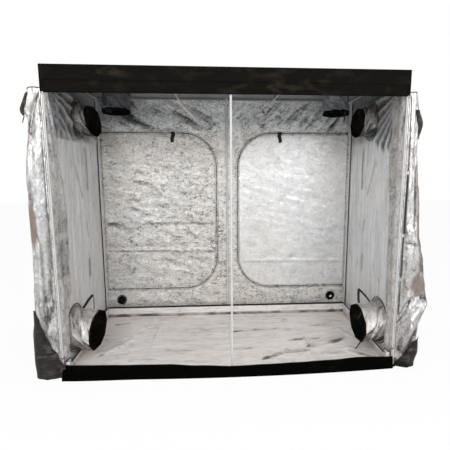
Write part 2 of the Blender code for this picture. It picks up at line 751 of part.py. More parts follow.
def smooth_route(points, steps):
    """Points on a smooth curve through a route's own points."""
    route = [Vector(p) for p in points]
    route = [2 * route[0] - route[1]] + route + [2 * route[-1] - route[-2]]
    smooth = []
    for a, b, c, d in zip(route, route[1:], route[2:], route[3:]):
        for i in range(steps):
            t = i / steps
            bend = (2 * a - 5 * b + 4 * c - d) * t * t + (3 * b - a - 3 * c + d) * t**3
            smooth.append((2 * b + (c - a) * t + bend) / 2)
    return smooth + [route[-2]]


def add_cords(webbing):
    for side, out in SIDES:
        name = f"stay_cord_{side}"
        curve = bpy.data.curves.new(name, "CURVE")
        curve.dimensions = "3D"
        curve.bevel_depth = CORD_RADIUS
        curve.bevel_resolution = 2
        curve.use_fill_caps = True
        points = smooth_route(CORD_ROUTE, CORD_STEPS)
        spline = curve.splines.new("POLY")
        spline.points.add(len(points) - 1)
        for place, point in zip(spline.points, points):
            place.co = (out * point.x, point.y, point.z, 1)
        add_object(name, curve, webbing)


def main():
    clear_scene()
    materials = make_materials()
    lining, canvas = materials["lining"], materials["canvas"]
    steel, webbing = materials["steel"], materials["webbing"]
    add_frame(steel)
    for side, out in SIDES:
        add_roof_bar(f"roof_bar_{side}", out * BAR_X, steel)
    add_walls(lining)
    add_roof_and_floor(lining, canvas)
    add_header(canvas)
    add_sill(canvas)
    add_tray(lining)
    add_sleeves(lining, canvas)
    add_loops(webbing)
    add_back_doors(lining)
    add_ties_and_sliders(webbing, materials["slider"])
    add_front_doors(lining)
    add_cords(webbing)


main()
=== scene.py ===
"""Looks of the indoor grow tent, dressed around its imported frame.

Metres, +Z up. The front faces -Y, and the origin is under the middle of the floor cloth.
"""

import logging
import math
from collections.abc import Callable, Iterable, Sequence
from dataclasses import dataclass, replace
from enum import Enum

import bmesh
import bpy
from mathutils import Matrix, Vector, noise


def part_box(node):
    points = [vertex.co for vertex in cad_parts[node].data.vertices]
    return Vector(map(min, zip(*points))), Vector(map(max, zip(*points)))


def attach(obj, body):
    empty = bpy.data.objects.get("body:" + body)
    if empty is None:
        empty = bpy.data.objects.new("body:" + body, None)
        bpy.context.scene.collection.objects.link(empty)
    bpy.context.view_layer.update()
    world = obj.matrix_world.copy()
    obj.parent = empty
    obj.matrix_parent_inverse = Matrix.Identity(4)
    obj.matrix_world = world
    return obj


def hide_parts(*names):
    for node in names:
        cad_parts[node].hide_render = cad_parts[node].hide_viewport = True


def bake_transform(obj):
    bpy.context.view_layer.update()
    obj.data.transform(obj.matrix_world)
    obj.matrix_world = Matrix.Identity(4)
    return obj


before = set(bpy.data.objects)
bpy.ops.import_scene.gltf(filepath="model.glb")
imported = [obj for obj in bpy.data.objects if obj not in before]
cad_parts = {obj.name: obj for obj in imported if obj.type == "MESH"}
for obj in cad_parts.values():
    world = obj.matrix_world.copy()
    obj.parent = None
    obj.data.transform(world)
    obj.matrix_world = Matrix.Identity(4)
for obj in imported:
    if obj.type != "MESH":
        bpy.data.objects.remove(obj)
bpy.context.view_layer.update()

CANOPY = "frame_and_canopy"
X, Y, Z = Vector((1, 0, 0)), Vector((0, 1, 0)), Vector((0, 0, 1))
WALL_CLOTH = 0.0015
POLES = (
    "corner_post", "centre_post", "base_beam", "top_beam", "corner_connector", "tee_connector", "roof_bar",
)
NOISE_SEED = 1
log = logging.getLogger("grow_tent")

Place = Callable[[float, float], Vector]
Colour = tuple[float, float, float, float]
Item, Finish, Mesh, Skin = bpy.types.Object, bpy.types.Material, bpy.types.Mesh, bmesh.types.BMesh


class Side(Enum):
    """The two sides of the tent, by the sign of X."""

    LEFT = -1
    RIGHT = 1

    @property
    def word(self) -> str:
        """The side's name as the frame's nodes have it."""
        return self.name.lower()


class Level(Enum):
    """The rows that duct sleeves hang in."""

    LOWER = "lower"
    UPPER = "upper"
    ROOF = "roof"


def smooth_step(value: float, low: float, high: float) -> float:
    """Rises smoothly from 0 at low to 1 at high.

    Args:
        value: The place to look at.
        low: Where the rise starts.
        high: Where it ends.

    Returns:
        The share, from 0 to 1.
    """
    share = min(1.0, max(0.0, (value - low) / (high - low)))
    return share * share * (3 - 2 * share)


def bell(distance: float, width: float) -> float:
    """A rounded ridge's height share at a distance from its line."""
    return math.exp(-((distance / width) ** 2))


def along_shares(shares: Sequence[float], at: float) -> float:
    """Reads a row of evenly spaced values smoothly.

    Args:
        shares: The values, evenly spaced from 0 to 1.
        at: The place to read, from 0 to 1.

    Returns:
        The value there, on a smooth curve through the row.
    """
    place = min(max(at, 0.0), 1.0) * (len(shares) - 1)
    i = min(int(place), len(shares) - 2)
    t = smooth_step(place - i, 0, 1)
    return shares[i] * (1 - t) + shares[i + 1] * t


def line_distance(point: tuple[float, float], start: tuple[float, float], end: tuple[float, float]) -> float:
    """How far a point of a wall lies from a straight crease in it.

    Args:
        point: The point in the wall's own plane.
        start: One end of the crease.
        end: Its other end.

    Returns:
        The distance in metres.
    """
    a, b, p = Vector(start), Vector(end), Vector(point)
    run = b - a
    share = min(1.0, max(0.0, (p - a).dot(run) / run.length_squared))
    return (p - a - share * run).length


def near_line(point: tuple[float, float], line: Sequence[tuple[float, float]]) -> float:
    """How far a point lies from a bent line."""
    return min(line_distance(point, start, end) for start, end in zip(line, line[1:]))


class Wire:
    """One value in a material's maths. Sums with it add Math nodes to the material."""

    def __init__(self, graph: "Graph", socket: bpy.types.NodeSocket) -> None:
        """Wraps a socket of a graph."""
        self.graph = graph
        self.socket = socket

    def math(self, operation: str, first: "Wire | float", second: "Wire | float") -> "Wire":
        """The result of one Math node."""
        return self.graph.node("ShaderNodeMath", {"operation": operation}, {0: first, 1: second})

    def __add__(self, other: "Wire | float") -> "Wire":
        """This value plus another."""
        return self.math("ADD", self, other)

    __radd__ = __add__

    def __sub__(self, other: "Wire | float") -> "Wire":
        """This value less another."""
        return self.math("SUBTRACT", self, other)

    def __rsub__(self, other: float) -> "Wire":
        """Another value less this one."""
        return self.math("SUBTRACT", other, self)

    def __mul__(self, other: "Wire | float") -> "Wire":
        """This value times another."""
        return self.math("MULTIPLY", self, other)

    __rmul__ = __mul__


class Graph:
    """The node tree of one finish."""

    def __init__(self, name: str) -> None:
        """Makes an empty material with its Principled shader."""
        self.material = bpy.data.materials.new(name)
        self.material.use_nodes = True
        self.tree = self.material.node_tree
        self.shader = self.tree.nodes["Principled BSDF"]

    def node(self, kind: str, settings: dict | None = None, inputs: dict | None = None,
             output: int | str = 0) -> Wire:
        """Adds one node.

        Args:
            kind: The node's type.
            settings: Its settings, set first; "stops" fills a ramp.
            inputs: Values or links for its sockets.
            output: The socket to hand back.

        Returns:
            That socket, wrapped.
        """
        made = self.tree.nodes.new(kind)
        for key, value in (settings or {}).items():
            if key == "stops":
                ramp = made.color_ramp.elements
                while len(ramp) < len(value):
                    ramp.new(0.5)
                for stop, (place, shade) in zip(ramp, value):
                    stop.position = place
                    stop.color = (shade, shade, shade, 1)
            else:
                setattr(made, key, value)
        for key, value in (inputs or {}).items():
            if isinstance(value, Wire):
                self.tree.links.new(value.socket, made.inputs[key])
            else:
                made.inputs[key].default_value = value
        return Wire(self, made.outputs[output])

    def mark(self, name: str) -> Wire:
        """A value that each point of the piece carries, or 0 where it carries none."""
        return self.node("ShaderNodeAttribute", {"attribute_name": name}, None, "Fac")

    def feed(self, socket: str, value: "Wire | float | Colour") -> None:
        """Sets or links a socket of the Principled shader."""
        if isinstance(value, Wire):
            self.tree.links.new(value.socket, self.shader.inputs[socket])
        else:
            self.shader.inputs[socket].default_value = value

    def point(self, stretch: Sequence[float] = (1, 1, 1), warp: float = 0.0, size: float = 6.0,
              offset: Sequence[float] = (0, 0, 0)) -> Wire:
        """The place on the piece, stretched and then bent by noise.

        Args:
            stretch: The scale along each axis.
            warp: How far the noise bends it, in metres.
            size: How many bends there are to a metre.
            offset: How far the place is moved first.

        Returns:
            The place as a vector.
        """
        place = self.node("ShaderNodeTexCoord", output="Object")
        inputs = {"Vector": place, "Scale": tuple(stretch), "Location": tuple(offset)}
        place = self.node("ShaderNodeMapping", inputs=inputs)
        if not warp:
            return place
        inputs = {"Vector": place, "Scale": size, "Detail": 3.0}
        bend = self.node("ShaderNodeTexNoise", None, inputs, "Color")
        bend = self.node("ShaderNodeVectorMath", {"operation": "SCALE"}, {0: bend, "Scale": 2 * warp})
        return self.node("ShaderNodeVectorMath", {"operation": "ADD"}, {0: place, 1: bend})

    def noise(self, point: Wire, scale: float, detail: float = 3.0) -> Wire:
        """Soft noise, from 0 to 1."""
        return self.node("ShaderNodeTexNoise", None, {"Vector": point, "Scale": scale, "Detail": detail})

    def planes(self, point: Wire, scale: float) -> tuple[Wire, Wire]:
        """Flat facets like those of crushed foil, each tilted its own way.

        Args:
            point: The place to read.
            scale: How many facets there are to a metre.

        Returns:
            Their height, and a tone from 0 to 1 that is even over each facet.
        """
        tone = self.node("ShaderNodeTexVoronoi", None, {"Vector": point, "Scale": scale}, "Color")
        centre = Wire(self, tone.socket.node.outputs["Position"])
        off = self.node("ShaderNodeVectorMath", {"operation": "SUBTRACT"}, {0: point, 1: centre})
        lean = self.node("ShaderNodeVectorMath", {"operation": "SUBTRACT"}, {0: tone, 1: (0.5, 0.5, 0.5)})
        height = self.node("ShaderNodeVectorMath", {"operation": "DOT_PRODUCT"}, {0: off, 1: lean}, "Value")
        return height * scale, self.node("ShaderNodeSeparateXYZ", None, {0: tone}, "X")

    def creases(self, point: Wire, scale: float, width: float, length: float = 0.35) -> Wire:
        """Thin wandering lines that come and go, 1 on the line and 0 off it.

        Args:
            point: The place to read.
            scale: How many lines there are to a metre.
            width: The width of a line, as a share of the noise's swing.
            length: How much of them is left unbroken, from 0 to 1.

        Returns:
            The lines.
        """
        swing = self.noise(point, scale, 3.0) - 0.5
        off = self.node("ShaderNodeMath", {"operation": "ABSOLUTE"}, {0: swing})
        line = self.ramp(off, ((0.0, 1.0), (width, 0.0)))
        gate = self.noise(self.point(offset=(3.1, 1.7, 4.3)), scale * 0.8, 2.0)
        return line * self.ramp(gate, ((0.62 - length * 0.4, 0.0), (0.78 - length * 0.4, 1.0)))

    def above(self, height: float, fade: float) -> Wire:
        """Rises from 0 to 1 over a soft line at a height."""
        place = self.point()
        up = self.node("ShaderNodeSeparateXYZ", None, {0: place}, "Z")
        up = up + self.noise(place, 5.0) * (fade * 0.6)
        rise = (up - height) * (1 / fade)
        return self.node("ShaderNodeMath", {"operation": "ADD", "use_clamp": True}, {0: rise, 1: 0.0})

    def ramp(self, value: Wire, stops: Sequence[tuple[float, float]]) -> Wire:
        """A value read from a ramp of grey stops."""
        return self.node("ShaderNodeValToRGB", {"stops": stops}, {0: value})

    def mix(self, factor: "Wire | float", first: "Wire | Colour", second: "Wire | Colour") -> Wire:
        """A mix of two colours."""
        return self.node("ShaderNodeMix", {"data_type": "RGBA"}, {0: factor, 6: first, 7: second}, 2)

    def weave(self, threads: float) -> Wire:
        """The crossed threads of a plain weave, from 0 to about 1."""
        point = self.point()
        bands = []
        for direction in ("X", "Y", "Z"):
            settings = {"wave_type": "BANDS", "bands_direction": direction}
            inputs = {"Vector": point, "Scale": threads}
            bands.append(self.node("ShaderNodeTexWave", settings, inputs, "Fac"))
        return (bands[0] + bands[1] + bands[2]) * (1 / 3)

    def bump(self, height: Wire, depth: float, strength: float = 1.0) -> None:
        """Presses a height into the shader's normal."""
        inputs = {"Height": height, "Distance": depth, "Strength": strength}
        self.feed("Normal", self.node("ShaderNodeBump", None, inputs, "Normal"))


@dataclass(frozen=True)
class Lining:
    """Silver film on woven cloth, creased by folding, with painted highlights, painted shade, painted
    reflections and a painted tone above a height in its colour.
    """

    name: str
    tint: Colour = (0.66, 0.65, 0.635, 1)
    shade: Colour = (0.22, 0.215, 0.21, 1)
    warm: Colour = (0.70, 0.66, 0.61, 1)
    cool: Colour = (0.44, 0.47, 0.50, 1)
    lit: Colour = (0.88, 0.875, 0.86, 1)
    stain: Colour = (0.24, 0.185, 0.16, 1)
    black: Colour = (0.008, 0.008, 0.008, 1)
    stretch: tuple[float, float, float] = (1, 1, 1)
    broad: float = 9.0
    lines: float = 16.0
    crinkle: float = 95.0
    dark: float = 0.5
    speck: float = 0.30
    depth: float = 0.010
    metal: float = 0.35
    gloss: float = 0.36
    cool_from: float = 9.0
    cool_fade: float = 0.3
    hollow: float = 0.7
    facet: float = 26.0
    crisp: float = 0.35
    shine: float = 0.30

    def build(self) -> Finish:
        """Makes the material."""
        graph = Graph(self.name)
        point = graph.point(self.stretch, warp=0.035, size=6.0)
        tilt, tone = graph.planes(graph.point(self.stretch, warp=0.022, size=14.0), self.facet)
        little, spark = graph.planes(graph.point(self.stretch, warp=0.010, size=30.0), self.facet * 2.6)
        dents = graph.noise(point, self.broad, 5.0)
        fine = graph.noise(point, self.crinkle, 3.0)
        folds = graph.creases(point, self.lines, 0.030)
        small = graph.creases(point, self.lines * 3.3, 0.05, 0.6)
        cloud = graph.noise(graph.point(), 2.1, 4.0)
        base = graph.mix(graph.ramp(cloud, ((0.38, 0.0), (0.66, 1.0))), self.tint, self.warm)
        # Painted highlight: facets whose random tone is high are pulled towards the light tone, standing in
        # for glints on crushed foil.
        bright = graph.ramp(tone * 0.6 + spark * 0.4, ((0.55, 0.0), (0.85, 1.0)))
        base = graph.mix(bright * self.shine, base, self.lit)
        # Painted light by height: above a set height the film takes another tone, darker on the side walls
        # for the shade under the header and lighter on the back wall.
        base = graph.mix(graph.above(self.cool_from, self.cool_fade), base, self.cool)
        # Painted reflection: a brown tone where the piece marks the room mirrored in the foil.
        base = graph.mix(graph.mark("stain"), base, self.stain)
        # Painted shade: along the crease lines, in fine specks, in the dents of the bump, on facets whose
        # random tone is low, and where the piece marks painted shade.
        specks = graph.ramp(fine, ((0.34, 1.0), (0.52, 0.0)))
        dent_shade = graph.ramp(dents, ((0.30, 1.0), (0.50, 0.0)))
        shade = folds * self.dark + small * (self.dark * 0.55) + specks * self.speck + dent_shade * 0.16
        shade = shade + graph.ramp(tone * 0.55 + spark * 0.45, ((0.16, 1.0), (0.42, 0.0))) * self.crisp
        shade = shade + graph.mark("hollow") * self.hollow
        # Where the painted shade mark goes over 1, the colour goes on towards near-black.
        deepest_painted_shade = graph.ramp(graph.mark("hollow") * 0.5, ((0.5, 0.0), (0.85, 1.0)))
        base = graph.mix(shade, base, self.shade)
        graph.feed("Base Color", graph.mix(deepest_painted_shade, base, self.black))
        graph.feed("Metallic", self.metal)
        graph.feed("Roughness", fine * 0.20 + (self.gloss - 0.10))
        height = dents * 0.6 - folds * 0.10 - small * 0.05 + fine * 0.05 + graph.weave(260.0) * 0.008
        height = height + tilt * 0.55 + little * 0.16
        graph.bump(height, self.depth)
        return graph.material


@dataclass(frozen=True)
class Canvas:
    """Black coated canvas: a fine weave, its fold ridges lighter with rubbed dust and painted sheen, and
    darker where the piece marks painted shade.
    """

    name: str
    tint: Colour = (0.0022, 0.0021, 0.0019, 1)
    dust: Colour = (0.030, 0.024, 0.017, 1)
    dark: Colour = (0.002, 0.002, 0.0018, 1)
    gloss: float = 0.58
    sheen: float = 0.03
    grain: float = 7.0
    full: float = 0.74
    depth: float = 0.008

    def build(self) -> Finish:
        """Makes the material."""
        graph = Graph(self.name)
        folds = graph.noise(graph.point((1, 1, 2.2), warp=0.05, size=4.0), self.grain, 6.0)
        # Lighter on the ridges of the folds: partly rubbed dust, partly painted sheen.
        rubbed = graph.ramp(folds, ((0.50, 0.0), (self.full, 1.0)))
        patch = graph.ramp(graph.noise(graph.point(), 1.7, 3.0), ((0.46, 0.15), (0.62, 1.0)))
        speck = graph.noise(graph.point(), 420.0, 2.0)
        base = graph.mix(rubbed * patch * 0.9 + speck * 0.12, self.tint, self.dust)
        # Painted shade: darker where the piece marks it.
        graph.feed("Base Color", graph.mix(graph.mark("hollow"), base, self.dark))
        graph.feed("Specular IOR Level", self.sheen)
        graph.feed("Roughness", folds * 0.3 + (self.gloss - 0.15))
        weave = graph.weave(330.0)
        graph.bump(folds * 0.8 + weave * 0.05 + speck * 0.02, self.depth)
        return graph.material


@dataclass(frozen=True)
class PaintedSteel:
    """White powder-coated tube."""

    name: str
    tint: Colour = (0.54, 0.535, 0.53, 1)
    worn: Colour = (0.34, 0.335, 0.33, 1)

    def build(self) -> Finish:
        """Makes the material."""
        graph = Graph(self.name)
        point = graph.point()
        smear = graph.noise(graph.point((1, 1, 0.2)), 30.0, 4.0)
        smeared = graph.ramp(smear, ((0.5, 0.0), (0.8, 0.6)))
        graph.feed("Base Color", graph.mix(smeared, self.tint, self.worn))
        graph.feed("Specular IOR Level", 0.3)
        graph.feed("Roughness", graph.noise(point, 60.0) * 0.2 + 0.36)
        graph.bump(graph.noise(point, 900.0, 2.0), 0.0003, 0.4)
        return graph.material


@dataclass(frozen=True)
class Webbing:
    """Woven nylon strap and cord, ribbed across its run."""

    name: str
    tint: Colour = (0.0045, 0.0045, 0.0045, 1)
    edge: Colour = (0.016, 0.016, 0.0165, 1)
    ribs: float = 160.0

    def build(self) -> Finish:
        """Makes the material."""
        graph = Graph(self.name)
        settings = {"wave_type": "BANDS", "bands_direction": "DIAGONAL"}
        inputs = {"Vector": graph.point(), "Scale": self.ribs, "Distortion": 1.5}
        ribs = graph.node("ShaderNodeTexWave", settings, inputs, "Fac")
        fuzz = graph.noise(graph.point(), 700.0, 2.0)
        graph.feed("Base Color", graph.mix(ribs * 0.6 + fuzz * 0.2, self.tint, self.edge))
        graph.feed("Roughness", fuzz * 0.2 + 0.65)
        graph.bump(ribs * 0.8 + fuzz * 0.2, 0.0012)
        return graph.material


@dataclass(frozen=True)
class Coil:
    """The teeth of a coil zip, moulded in dark nylon and worn pale in places."""

    name: str
    tint: Colour = (0.030, 0.030, 0.031, 1)
    lit: Colour = (0.30, 0.30, 0.30, 1)
    teeth: float = 130.0

    def build(self) -> Finish:
        """Makes the material."""
        graph = Graph(self.name)
        settings = {"wave_type": "BANDS", "bands_direction": "DIAGONAL", "wave_profile": "SAW"}
        inputs = {"Vector": graph.point(), "Scale": self.teeth}
        teeth = graph.node("ShaderNodeTexWave", settings, inputs, "Fac")
        wear = graph.noise(graph.point(), 24.0, 5.0)
        pale = graph.ramp(wear, ((0.46, 0.0), (0.60, 1.0)))
        graph.feed("Base Color", graph.mix(pale * 0.7 + teeth * 0.2, self.tint, self.lit))
        graph.feed("Roughness", wear * 0.25 + 0.3)
        graph.bump(teeth, 0.0015)
        return graph.material


@dataclass(frozen=True)
class Alloy:
    """Dark enamelled zip metal, rubbed bright on its edges."""

    name: str
    tint: Colour = (0.025, 0.025, 0.027, 1)
    lit: Colour = (0.22, 0.22, 0.23, 1)

    def build(self) -> Finish:
        """Makes the material."""
        graph = Graph(self.name)
        wear = graph.noise(graph.point(), 160.0, 5.0)
        rubbed = graph.ramp(wear, ((0.55, 0.0), (0.72, 1.0)))
        graph.feed("Base Color", graph.mix(rubbed * 0.5, self.tint, self.lit))
        graph.feed("Metallic", rubbed * 0.7 + 0.2)
        graph.feed("Roughness", wear * 0.3 + 0.25)
        graph.bump(wear, 0.0004)
        return graph.material


class Finishes:
    """Every material of the tent, made once."""

    def __init__(self) -> None:
        """Builds them all."""
        # The back lining's upper tone, above 1.8 m, is lighter than its tint: painted light on the upper
        # back wall.
        self.back = Lining(
            "creased_back_lining", tint=(0.64, 0.63, 0.615, 1), warm=(0.66, 0.625, 0.58, 1),
            shade=(0.12, 0.118, 0.115, 1), cool=(0.92, 0.935, 0.95, 1), stretch=(0.8, 1, 1.4),
            cool_from=1.80, cool_fade=0.10, speck=0.20, crisp=0.30, shine=0.24, facet=30.0, gloss=0.42,
            metal=0.25, dark=1.0, hollow=0.62,
        ).build()
        self.right_door = Lining(
            "smooth_back_lining", tint=(0.68, 0.685, 0.685, 1), warm=(0.70, 0.69, 0.67, 1),
            shade=(0.20, 0.20, 0.20, 1), stretch=(0.9, 1, 1.2), speck=0.14, crisp=0.10, shine=0.22,
            dark=0.35, facet=34.0, gloss=0.36, depth=0.004, hollow=0.35,
        ).build()
        # The side lining's upper tone, above 1.70 m, is darker: painted shade under the header.
        self.side = Lining(
            "hanging_side_lining", tint=(0.75, 0.755, 0.765, 1), warm=(0.79, 0.785, 0.78, 1),
            shade=(0.070, 0.073, 0.078, 1), cool=(0.42, 0.43, 0.445, 1), cool_from=1.70, cool_fade=0.06,
            stretch=(1, 2.2, 0.22), broad=7.0, lines=9.0, crinkle=120.0, speck=0.06, dark=0.34,
            depth=0.007, metal=0.20, gloss=0.42, facet=12.0, crisp=0.08, shine=0.16, hollow=0.9,
        ).build()
        self.tray = Lining(
            "floor_tray_film", tint=(0.90, 0.86, 0.835, 1), warm=(0.92, 0.86, 0.825, 1),
            lit=(0.95, 0.92, 0.90, 1), shade=(0.12, 0.112, 0.105, 1), stretch=(0.30, 1.4, 1), broad=6.0,
            lines=5.0, crinkle=70.0, speck=0.05, dark=0.38, depth=0.007, metal=0.10, gloss=0.42,
            hollow=0.85, facet=14.0, crisp=0.08, shine=0.30,
        ).build()
        film = Lining(
            "sleeve_film", tint=(0.64, 0.62, 0.61, 1), warm=(0.68, 0.63, 0.60, 1),
            shade=(0.10, 0.095, 0.09, 1), broad=8.0, lines=7.0, crinkle=60.0, speck=0.08, depth=0.003,
            metal=0.2, gloss=0.42, hollow=0.9, facet=11.0, crisp=0.10, shine=0.25,
        )
        self.sleeve = film.build()
        # Darker copies of the sleeve film for the upper and the roof sleeves: painted shade, for sleeves
        # that hang in shade.
        film = replace(
            film, name="shaded_sleeve_film", tint=(0.42, 0.405, 0.395, 1), warm=(0.45, 0.41, 0.385, 1),
            lit=(0.66, 0.65, 0.64, 1), shade=(0.03, 0.03, 0.03, 1), depth=0.004, crisp=0.12,
        )
        self.high_sleeve = film.build()
        self.roof_sleeve = replace(
            film, name="roof_sleeve_film", tint=(0.19, 0.20, 0.215, 1), warm=(0.15, 0.155, 0.165, 1),
            lit=(0.42, 0.45, 0.48, 1), shade=(0.02, 0.02, 0.022, 1), shine=0.30,
        ).build()
        # The roof's silver side is a dark copy of the lining: painted shade.
        self.roof = Lining(
            "roof_lining", tint=(0.30, 0.30, 0.31, 1), warm=(0.26, 0.255, 0.25, 1),
            lit=(0.45, 0.46, 0.48, 1), shade=(0.05, 0.05, 0.05, 1), metal=0.2, gloss=0.42, crisp=0.2,
            shine=0.3,
        ).build()
        self.door = Lining(
            "door_film", tint=(0.50, 0.505, 0.51, 1), warm=(0.48, 0.45, 0.43, 1),
            shade=(0.075, 0.07, 0.065, 1), lit=(0.90, 0.90, 0.89, 1), stretch=(1.3, 1.3, 0.65), broad=6.0,
            lines=8.0, crinkle=60.0, speck=0.10, dark=0.34, depth=0.010, metal=0.35, gloss=0.30,
            hollow=0.95, facet=24.0, crisp=0.30, shine=0.60,
        ).build()
        self.flap = Lining(
            "zip_flap_film", tint=(0.66, 0.65, 0.64, 1), warm=(0.68, 0.63, 0.60, 1),
            shade=(0.10, 0.095, 0.09, 1), stretch=(1.5, 1.5, 0.8), broad=14.0, lines=14.0, crinkle=90.0,
            speck=0.14, dark=0.5, depth=0.010, metal=0.3, gloss=0.36, facet=26.0, crisp=0.34, shine=0.5,
            hollow=0.95,
        ).build()
        # A lighter copy of the black canvas for the turned-over door corners: painted light where they are
        # lit, and its dust tone is mostly painted highlight on the crinkles.
        self.door_canvas = Canvas(
            "door_outer_canvas", tint=(0.016, 0.0145, 0.014, 1), dust=(0.17, 0.145, 0.13, 1), gloss=0.45,
            sheen=0.16, grain=15.0, full=0.66, depth=0.014,
        ).build()
        self.canvas = Canvas("black_coated_canvas").build()
        self.sill_canvas = Canvas(
            "sill_canvas", tint=(0.0016, 0.0016, 0.0015, 1), dust=(0.0055, 0.0048, 0.004, 1), sheen=0.0,
            gloss=0.75,
        ).build()
        self.steel = PaintedSteel("white_powder_coat").build()
        # A darker copy of the powder coat for the back top beams: painted shade.
        self.dull_steel = PaintedSteel(
            "dull_powder_coat", tint=(0.22, 0.22, 0.22, 1), worn=(0.15, 0.148, 0.145, 1),
        ).build()
        self.webbing = Webbing("black_nylon_webbing").build()
        self.coil = Coil("zip_coil").build()
        self.alloy = Alloy("zip_enamel").build()


def skin(columns: int, rows: int, place: Place, merge: float = 1e-5) -> Skin:
    """A grid of cloth moved into place, joined to itself where its edges meet.

    Args:
        columns: Faces across.
        rows: Faces up.
        place: Where the point at a share across and a share up goes.
        merge: The distance at which points join.

    Returns:
        The open skin.
    """
    bm = bmesh.new()
    bmesh.ops.create_grid(bm, x_segments=columns, y_segments=rows, size=0.5)
    for vert in bm.verts:
        vert.co = place(vert.co.x + 0.5, vert.co.y + 0.5)
    bmesh.ops.remove_doubles(bm, verts=bm.verts, dist=merge)
    bmesh.ops.dissolve_degenerate(bm, edges=bm.edges, dist=merge)
    return bm


def facing(bm: Skin, way: Vector) -> Skin:
    """Turns a skin round, if need be, so that its faces look one way on the whole."""
    total = sum((face.normal * face.calc_area() for face in bm.faces), Vector())
    if total.length == 0:
        bm.normal_update()
        total = sum((face.normal * face.calc_area() for face in bm.faces), Vector())
    if total.dot(way) < 0:
        bmesh.ops.reverse_faces(bm, faces=bm.faces)
    return bm


def to_mesh(bm: Skin, name: str, angle: float = 40.0) -> Mesh:
    """A mesh with smooth shading and sharp corners, and the bmesh freed."""
    mesh = bpy.data.meshes.new(name)
    bm.to_mesh(mesh)
    bm.free()
    mesh.shade_smooth()
    mesh.set_sharp_from_angle(angle=math.radians(angle))
    return mesh


def piece(name: str, mesh: Mesh, materials: Sequence[Finish], slot: str, body: str = CANOPY,
          replaces: Iterable[str] = ()) -> Item:
    """Adds a finished piece.

    Args:
        name: The piece's name.
        mesh: Its mesh, in place.
        materials: Its finishes, by slot.
        slot: Not used.
        body: The body that carries it, or nothing to leave the piece unattached.
        replaces: The frame's nodes that it stands for.

    Returns:
        The piece.
    """
    item = bpy.data.objects.new(name, mesh)
    mesh.materials.clear()
    for material in materials:
        mesh.materials.append(material)
    bpy.context.scene.collection.objects.link(item)
    if body:
        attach(item, body)
    if replaces:
        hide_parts(*replaces)
    log.info("%s: %d faces", name, len(mesh.polygons))
    return item


def plain(name: str, bm: Skin, finish: Finish, slot: str, thickness: float = 0.0,
          replaces: Iterable[str] = (), body: str = CANOPY, angle: float = 40.0,
          offset: float = 0.0) -> Item:
    """Adds a piece in one finish.

    Args:
        name: The piece's name.
        bm: Its shape, which is used up.
        finish: Its finish.
        slot: Not used; it is only passed on to piece.
        thickness: What a skin is thickened by, or 0 for a closed shape.
        replaces: The frame's nodes that it stands for.
        body: The body that carries it.
        angle: The sharpest corner that is shaded smooth, in degrees.
        offset: The side of the skin that it is thickened to, from -1 to 1.

    Returns:
        The piece.
    """
    item = piece(name, to_mesh(bm, name, angle), [finish], slot, body, replaces)
    return thicken(item, thickness, offset, lined=False) if thickness else item


def thicken(item: Item, thickness: float, offset: float = 0.0, lined: bool = True) -> Item:
    """Gives a skin its thickness, with the second material on the side its faces look away from."""
    solid = item.modifiers.new("thickness", "SOLIDIFY")
    solid.thickness = thickness
    solid.offset = offset
    solid.use_even_offset = False
    solid.material_offset = 1 if lined else 0
    return item


def solved(mesh: Mesh, cutters: Sequence[Skin], operation: str) -> Mesh:
    """Cuts shapes out of a skin, or keeps what lies in them.

    Args:
        mesh: The skin.
        cutters: Closed shapes, which are used up.
        operation: DIFFERENCE or INTERSECT.

    Returns:
        The cut skin.
    """
    item = bpy.data.objects.new("cut", mesh)
    bpy.context.scene.collection.objects.link(item)
    tools = []
    for cutter in cutters:
        tool = bpy.data.objects.new("cutter", to_mesh(outward(cutter), "cutter"))
        bpy.context.scene.collection.objects.link(tool)
        boolean = item.modifiers.new("boolean", "BOOLEAN")
        boolean.operation = operation
        boolean.solver = "EXACT"
        boolean.object = tool
        tools.append(tool)
    bpy.context.view_layer.update()
    cut = bpy.data.meshes.new_from_object(item.evaluated_get(bpy.context.evaluated_depsgraph_get()))
    for spare in [item, *tools]:
        bpy.data.objects.remove(spare)
    return cut


def pressed(mesh: Mesh, way: Vector, depth: Callable[[Vector], float]) -> Mesh:
    """Moves each point of a mesh one way by a depth that depends on its place."""
    for vert in mesh.vertices:
        vert.co += way * depth(vert.co)
    mesh.update()
    return mesh


def marked(mesh: Mesh, share: Callable[[Vector, Vector], float], name: str = "hollow") -> Mesh:
    """Marks each point with a value that the finish reads: painted shade by default, or a painted
    reflection.

    Args:
        mesh: The cloth in place.
        share: Gives the mark from a point's place and normal.
        name: What the mark is called in the finish.

    Returns:
        The same mesh.
    """
    marks = mesh.attributes.new(name, "FLOAT", "POINT")
    for vert, mark in zip(mesh.vertices, marks.data):
        mark.value = min(2.0, max(0.0, share(vert.co, vert.normal)))
    return mesh


def outward(bm: Skin) -> Skin:
    """Turns the faces of a closed or tubular shape outwards."""
    bmesh.ops.recalc_face_normals(bm, faces=bm.faces)
    return bm


def aimed(bm: Skin, centre: Vector, axis: Vector) -> Skin:
    """Turns a shape from Z to an axis and moves it to its centre."""
    turn = axis.to_track_quat("Z", "Y").to_matrix().to_4x4()
    bmesh.ops.transform(bm, matrix=Matrix.Translation(centre) @ turn, verts=bm.verts)
    return bm


def peg(radius: float, centre: Vector, axis: Vector, length: float = 0.1, sides: int = 64) -> Skin:
    """A closed round cutter."""
    bm = bmesh.new()
    bmesh.ops.create_cone(bm, cap_ends=True, segments=sides, radius1=radius, radius2=radius, depth=length)
    return aimed(bm, centre, axis)


